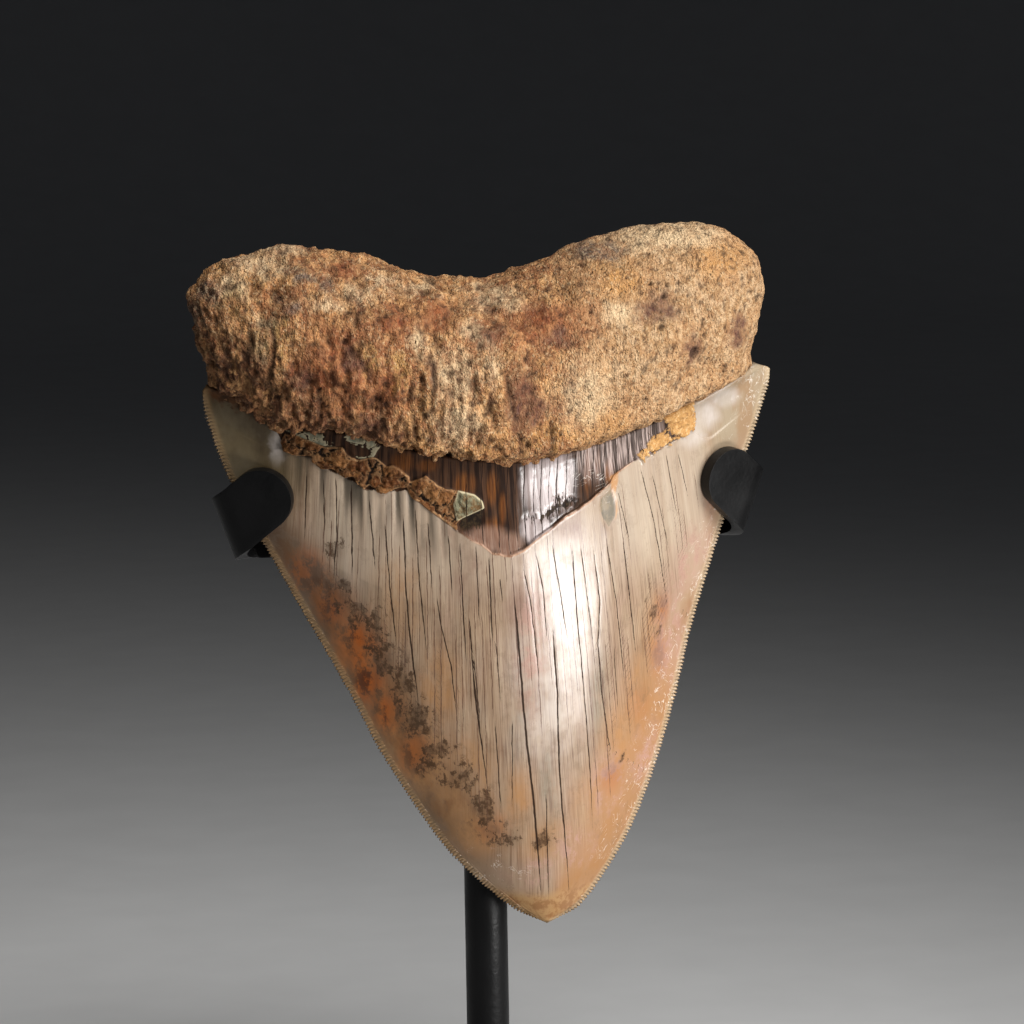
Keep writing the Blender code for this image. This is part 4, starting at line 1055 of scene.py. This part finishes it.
# ---- The stand ----------------------------------------------------------------------------------
# A flat steel bar with round ends, bent into a hook round each cutting edge, carried on a round steel post
# that stands in a turned steel disc. All three are powder coated satin black, and a black cap screw joins the
# bar to the flat on the post.
CLEARANCE = 0.0003  # between pieces that touch in use
BASE_DIAMETER, BASE_HEIGHT = 0.100, 0.010
POST_DIAMETER, POST_BOTTOM = 0.0090, 0.0040
BAND_WIDTH, BAND_THICKNESS = 0.0127, 0.0026
BAND_MIDDLE_Z = 0.146
HOOK_RADIUS, HOOK_TURN, HOOK_LEAN = 0.0044, radians(154), radians(20)
HOOK_OUTSIDE_RIM = {-1: 0.0006, 1: -0.0003}
PAD_LENGTH = 0.0130
BAND_Y = 0.0042 + CLEARANCE + BAND_THICKNESS / 2
POST_FLAT_Y = BAND_Y + BAND_THICKNESS / 2 + CLEARANCE
POST_Y = POST_FLAT_Y + 0.0030
SHANK_DIAMETER, SHANK_LENGTH = 0.0040, 0.0127
HEAD_DIAMETER, HEAD_HEIGHT = 0.0070, 0.0026
SOCKET_WIDTH, SOCKET_DEPTH = 0.0030, 0.0015
STEPS_ALONG, STEPS_ACROSS = 150, 16


def rim_from_post(side):
    """How far the cutting edge is from the post's axis at the height of the band."""
    return abs(TIP[0] + float(outline_x(side, (BAND_MIDDLE_Z * 1000) - TIP[2]))) / 1000


def hook_point(side, along, across):
    """A point of the band's middle surface, from its place on the flat strip before the hook is bent."""
    start = rim_from_post(side) + HOOK_OUTSIDE_RIM[side]
    past = (along - start) * cos(HOOK_LEAN) - across * sin(HOOK_LEAN)
    up = (along - start) * sin(HOOK_LEAN) + across * cos(HOOK_LEAN)
    arc = HOOK_RADIUS * HOOK_TURN
    if past <= 0:
        out, depth = past, 0.0
    elif past < arc:
        angle = past / HOOK_RADIUS
        out, depth = HOOK_RADIUS * sin(angle), HOOK_RADIUS * (1 - cos(angle))
    else:
        out = HOOK_RADIUS * sin(HOOK_TURN) + (past - arc) * cos(HOOK_TURN)
        depth = HOOK_RADIUS * (1 - cos(HOOK_TURN)) + (past - arc) * sin(HOOK_TURN)
    x = start + out * cos(HOOK_LEAN) + up * sin(HOOK_LEAN)
    z = -out * sin(HOOK_LEAN) + up * cos(HOOK_LEAN)
    return (side * x, BAND_Y - depth, BAND_MIDDLE_Z + z)


bpy.ops.mesh.primitive_grid_add(x_subdivisions=2 * STEPS_ALONG, y_subdivisions=STEPS_ACROSS, size=2)
band = named("band")
half = BAND_WIDTH / 2
STRAIGHT_END, ROUND_START = 0.1, 0.8  # shares of half the grid: the straight middle ends, the round end starts
for vertex in band.data.vertices:
    side = -1 if vertex.co.x < 0 else 1
    place, v = abs(vertex.co.x), vertex.co.y
    straight = rim_from_post(side) - half
    round_start = rim_from_post(side) + HOOK_OUTSIDE_RIM[side] + HOOK_RADIUS * HOOK_TURN + PAD_LENGTH - half
    if place <= STRAIGHT_END:
        along, across = straight * place / STRAIGHT_END, v * half
    elif place <= ROUND_START:
        along = straight + (round_start - straight) * (place - STRAIGHT_END) / (ROUND_START - STRAIGHT_END)
        across = v * half
    else:
        u = (place - ROUND_START) / (1 - ROUND_START)
        along, across = round_start + half * u * sqrt(1 - v * v / 2), half * v * sqrt(1 - u * u / 2)
    vertex.co = hook_point(side, along, across)


def finish_modifiers(obj, smooth_angle=40):
    """Applies the modifiers, turns the mesh's faces outwards, smooths it, and leaves the object unselected."""
    bpy.ops.object.select_all(action="DESELECT")
    obj.select_set(True)
    bpy.context.view_layer.objects.active = obj
    for modifier in list(obj.modifiers):
        bpy.ops.object.modifier_apply(modifier=modifier.name)
    bpy.ops.object.transform_apply(location=True, rotation=True, scale=True)
    bpy.ops.object.mode_set(mode="EDIT")
    bpy.ops.mesh.select_all(action="SELECT")
    bpy.ops.mesh.normals_make_consistent(inside=False)
    bpy.ops.object.mode_set(mode="OBJECT")
    bpy.ops.object.shade_smooth_by_angle(angle=radians(smooth_angle))
    obj.select_set(False)


def round_edges(obj, width, segments=3, angle=50):
    modifier = obj.modifiers.new("rounded edges", "BEVEL")
    modifier.width, modifier.segments = width, segments
    modifier.limit_method, modifier.angle_limit = "ANGLE", radians(angle)


def worked_with(obj, tool, name, operation="DIFFERENCE"):
    """Cuts a tool's shape out of an object, or joins it on."""
    modifier = obj.modifiers.new(name, "BOOLEAN")
    modifier.operation, modifier.object, modifier.solver = operation, tool, "EXACT"


thickness = band.modifiers.new("thickness", "SOLIDIFY")
thickness.thickness, thickness.offset = BAND_THICKNESS, 0.0
round_edges(band, 0.00085, 3)
finish_modifiers(band, 35)

post_top = BAND_MIDDLE_Z + half
bpy.ops.mesh.primitive_cylinder_add(vertices=96, radius=POST_DIAMETER / 2, depth=post_top - POST_BOTTOM,
                                    location=(0, POST_Y, (post_top + POST_BOTTOM) / 2))
post = named("rod")
bpy.ops.mesh.primitive_cube_add(size=1, location=(0, POST_FLAT_Y - 0.005, post_top + CLEARANCE))
saw = named("saw")
saw.scale = (0.02, 0.01, 2 * (BAND_WIDTH + 2 * CLEARANCE))
worked_with(post, saw, "flat for the band")
round_edges(post, 0.0004, 2)
finish_modifiers(post)

bpy.ops.mesh.primitive_cylinder_add(vertices=192, radius=BASE_DIAMETER / 2, depth=BASE_HEIGHT,
                                    location=(0, 0, BASE_HEIGHT / 2))
disc = named("disc")
round_edges(disc, 0.0012, 4)
bpy.ops.mesh.primitive_cylinder_add(vertices=96, radius=POST_DIAMETER / 2 + CLEARANCE, depth=0.02,
                                    location=(0, POST_Y, POST_BOTTOM - CLEARANCE + 0.01))
drill = named("drill")
worked_with(disc, drill, "socket for the post")
finish_modifiers(disc)
coating, shader, tools = new_material("satin_black")
put, mask, mapped, grain, spread, cells, maths, blend, bump = tools
orange_peel = grain(mapped((1100, 1100, 1100)), 2, 0.5, 0.35, 0.65)
handled = grain(mapped((90, 90, 90)), 4, 0.6, 0.35, 0.7)
put(shader.inputs["Base Color"], blend(part(handled, 0.6), (0.0026, 0.0026, 0.0028), (0.006, 0.006, 0.0063)))
put(shader.inputs["Roughness"], spread(handled, 0, 1, 0.34, 0.48))
put(shader.inputs["Normal"], bump(orange_peel, 0.25, 0.00008))
shader.inputs["Specular IOR Level"].default_value = 0.20
for piece, node in ((band, "cradle_band"), (post, "post"), (disc, "base")):
    piece.data.materials.clear()
    piece.data.materials.append(coating)
    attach(piece, "root")
    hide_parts(node)

level = (radians(90), 0, 0)
shank_start, head_start = POST_FLAT_Y - BAND_THICKNESS, POST_Y + POST_DIAMETER / 2 + CLEARANCE
bpy.ops.mesh.primitive_cylinder_add(vertices=64, radius=SHANK_DIAMETER / 2, depth=SHANK_LENGTH,
                                    rotation=level, location=(0, shank_start + SHANK_LENGTH / 2, BAND_MIDDLE_Z))
screw = named("cap_screw")
bpy.ops.mesh.primitive_cylinder_add(vertices=64, radius=HEAD_DIAMETER / 2, depth=HEAD_HEIGHT,
                                    rotation=level, location=(0, head_start + HEAD_HEIGHT / 2, BAND_MIDDLE_Z))
head = named("head")
round_edges(head, 0.0003, 2)
finish_modifiers(head)
bpy.ops.mesh.primitive_cylinder_add(vertices=6, radius=SOCKET_WIDTH / 2 / cos(pi / 6), depth=2 * SOCKET_DEPTH,
                                    rotation=level, location=(0, head_start + HEAD_HEIGHT, BAND_MIDDLE_Z))
key = named("key")
worked_with(screw, head, "head", "UNION")
worked_with(screw, key, "hexagon socket")
finish_modifiers(screw)
for tool in (saw, drill, head, key):
    bpy.data.objects.remove(tool, do_unlink=True)
oxide, shader, tools = new_material("black_oxide")
put, mask, mapped, grain, spread, cells, maths, blend, bump = tools
worn = grain(mapped((700, 700, 700)), 4, 0.6, 0.4, 0.7)
put(shader.inputs["Base Color"], blend(worn, (0.025, 0.025, 0.027), (0.05, 0.05, 0.052)))
put(shader.inputs["Roughness"], spread(worn, 0, 1, 0.3, 0.5))
shader.inputs["Metallic"].default_value = 0.8
put(shader.inputs["Normal"], bump(worn, 0.2, 0.00005))
screw.data.materials.clear()
screw.data.materials.append(oxide)
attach(screw, "root")
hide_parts("band_screw")


# ---- The studio ---------------------------------------------------------------------------------
# A pale sweep of paper under and behind the stand. The key light is on the right, with a small strip low down
# beside it. A broad light hangs overhead, and weak ones fill from the left and from behind. The camera looks
# slightly down from a little to the left.
bpy.ops.mesh.primitive_plane_add(size=6, location=(0, 0, 0))
floor = bpy.context.object
floor.name = "floor"
bpy.ops.object.mode_set(mode="EDIT")
bpy.ops.mesh.select_all(action="DESELECT")
bpy.ops.object.mode_set(mode="OBJECT")
for edge in floor.data.edges:
    edge.select = all(floor.data.vertices[i].co.y > 1 for i in edge.vertices)
bpy.ops.object.mode_set(mode="EDIT")
bpy.ops.mesh.select_mode(type="EDGE")
bpy.ops.mesh.extrude_region_move(TRANSFORM_OT_translate={"value": (0, 0.6, 3.0)})
bpy.ops.object.mode_set(mode="OBJECT")
round_edges(floor, 0.9, 24, 20)
finish_modifiers(floor, 60)
paper, shader, tools = new_material("pale_paper")
put, mask, mapped, grain, spread, cells, maths, blend, bump = tools
pulp = grain(mapped((40, 40, 40)), 3, 0.5, 0.3, 0.7)
put(shader.inputs["Base Color"], blend(pulp, (0.62, 0.62, 0.62), (0.65, 0.65, 0.65)))
shader.inputs["Roughness"].default_value = 0.9
floor.data.materials.append(paper)


def soft_light(name, place, target, size, power, colour, beam):
    lamp = bpy.data.lights.new(name, "AREA")
    lamp.shape, lamp.size, lamp.size_y = "RECTANGLE", size[0], size[1]
    lamp.energy, lamp.color, lamp.spread = power, colour, radians(beam)
    made = bpy.data.objects.new(name, lamp)
    bpy.context.scene.collection.objects.link(made)
    made.location = place
    made.rotation_euler = (Vector(target) - Vector(place)).to_track_quat("-Z", "Y").to_euler()
    made.visible_camera = False


middle, lobes = (0.0, 0.0, 0.14), (0.0, 0.0, 0.2)
soft_light("key", (0.36, -0.32, 0.29), middle, (0.30, 0.44), 0.735, (1.0, 0.985, 0.96), 90)
soft_light("low_strip", (0.17, -0.24, 0.033), (0.0, 0.0, 0.12), (0.12, 0.06), 0.16, (1.0, 0.985, 0.97), 90)
soft_light("overhead", (0.15, -0.70, 0.90), lobes, (0.5, 0.4), 0.72, (1.0, 0.99, 0.97), 50)
soft_light("fill", (-1.1, -0.9, 0.5), middle, (1.2, 1.2), 0.22, (0.96, 0.98, 1.0), 60)
soft_light("back", (0.35, 0.30, 0.95), lobes, (0.6, 0.6), 0.15, (1.0, 1.0, 1.0), 60)
bpy.context.scene.world = bpy.data.worlds.new("studio")
bpy.context.scene.world.use_nodes = True
surround = bpy.context.scene.world.node_tree.nodes["Background"]
surround.inputs["Color"].default_value = (0.9, 0.93, 1.0, 1.0)
surround.inputs["Strength"].default_value = 0.02
bpy.context.scene.view_settings.view_transform = "Standard"

DISTANCE, PIXEL, WIDTH = 0.95, 0.000210, 1024  # of the tooth from the camera, of a pixel on it, and of the view
TIP_RIGHT, TIP_BELOW = 35, 411  # where the tip lies in the view, in pixels from its middle
azimuth, elevation, roll = radians(-14), radians(7), radians(1)
away = Vector((sin(azimuth) * cos(elevation), -cos(azimuth) * cos(elevation), sin(elevation)))
right = (-away).cross(Vector((0, 0, 1))).normalized()
up = right.cross(-away)
right, up = cos(roll) * right - sin(roll) * up, sin(roll) * right + cos(roll) * up
focal = DISTANCE / PIXEL
tip_ray = -away * focal + right * TIP_RIGHT - up * TIP_BELOW
camera = bpy.data.objects.new("camera", bpy.data.cameras.new("camera"))
bpy.context.scene.collection.objects.link(camera)
camera.matrix_world = Matrix((
    (right.x, up.x, away.x, 0), (right.y, up.y, away.y, 0), (right.z, up.z, away.z, 0), (0, 0, 0, 1)))
camera.location = Vector(TIP / 1000) - tip_ray / focal * DISTANCE
camera.data.sensor_width = 36.0
camera.data.lens = focal / WIDTH * camera.data.sensor_width
camera.data.clip_end = 20
bpy.context.scene.camera = camera
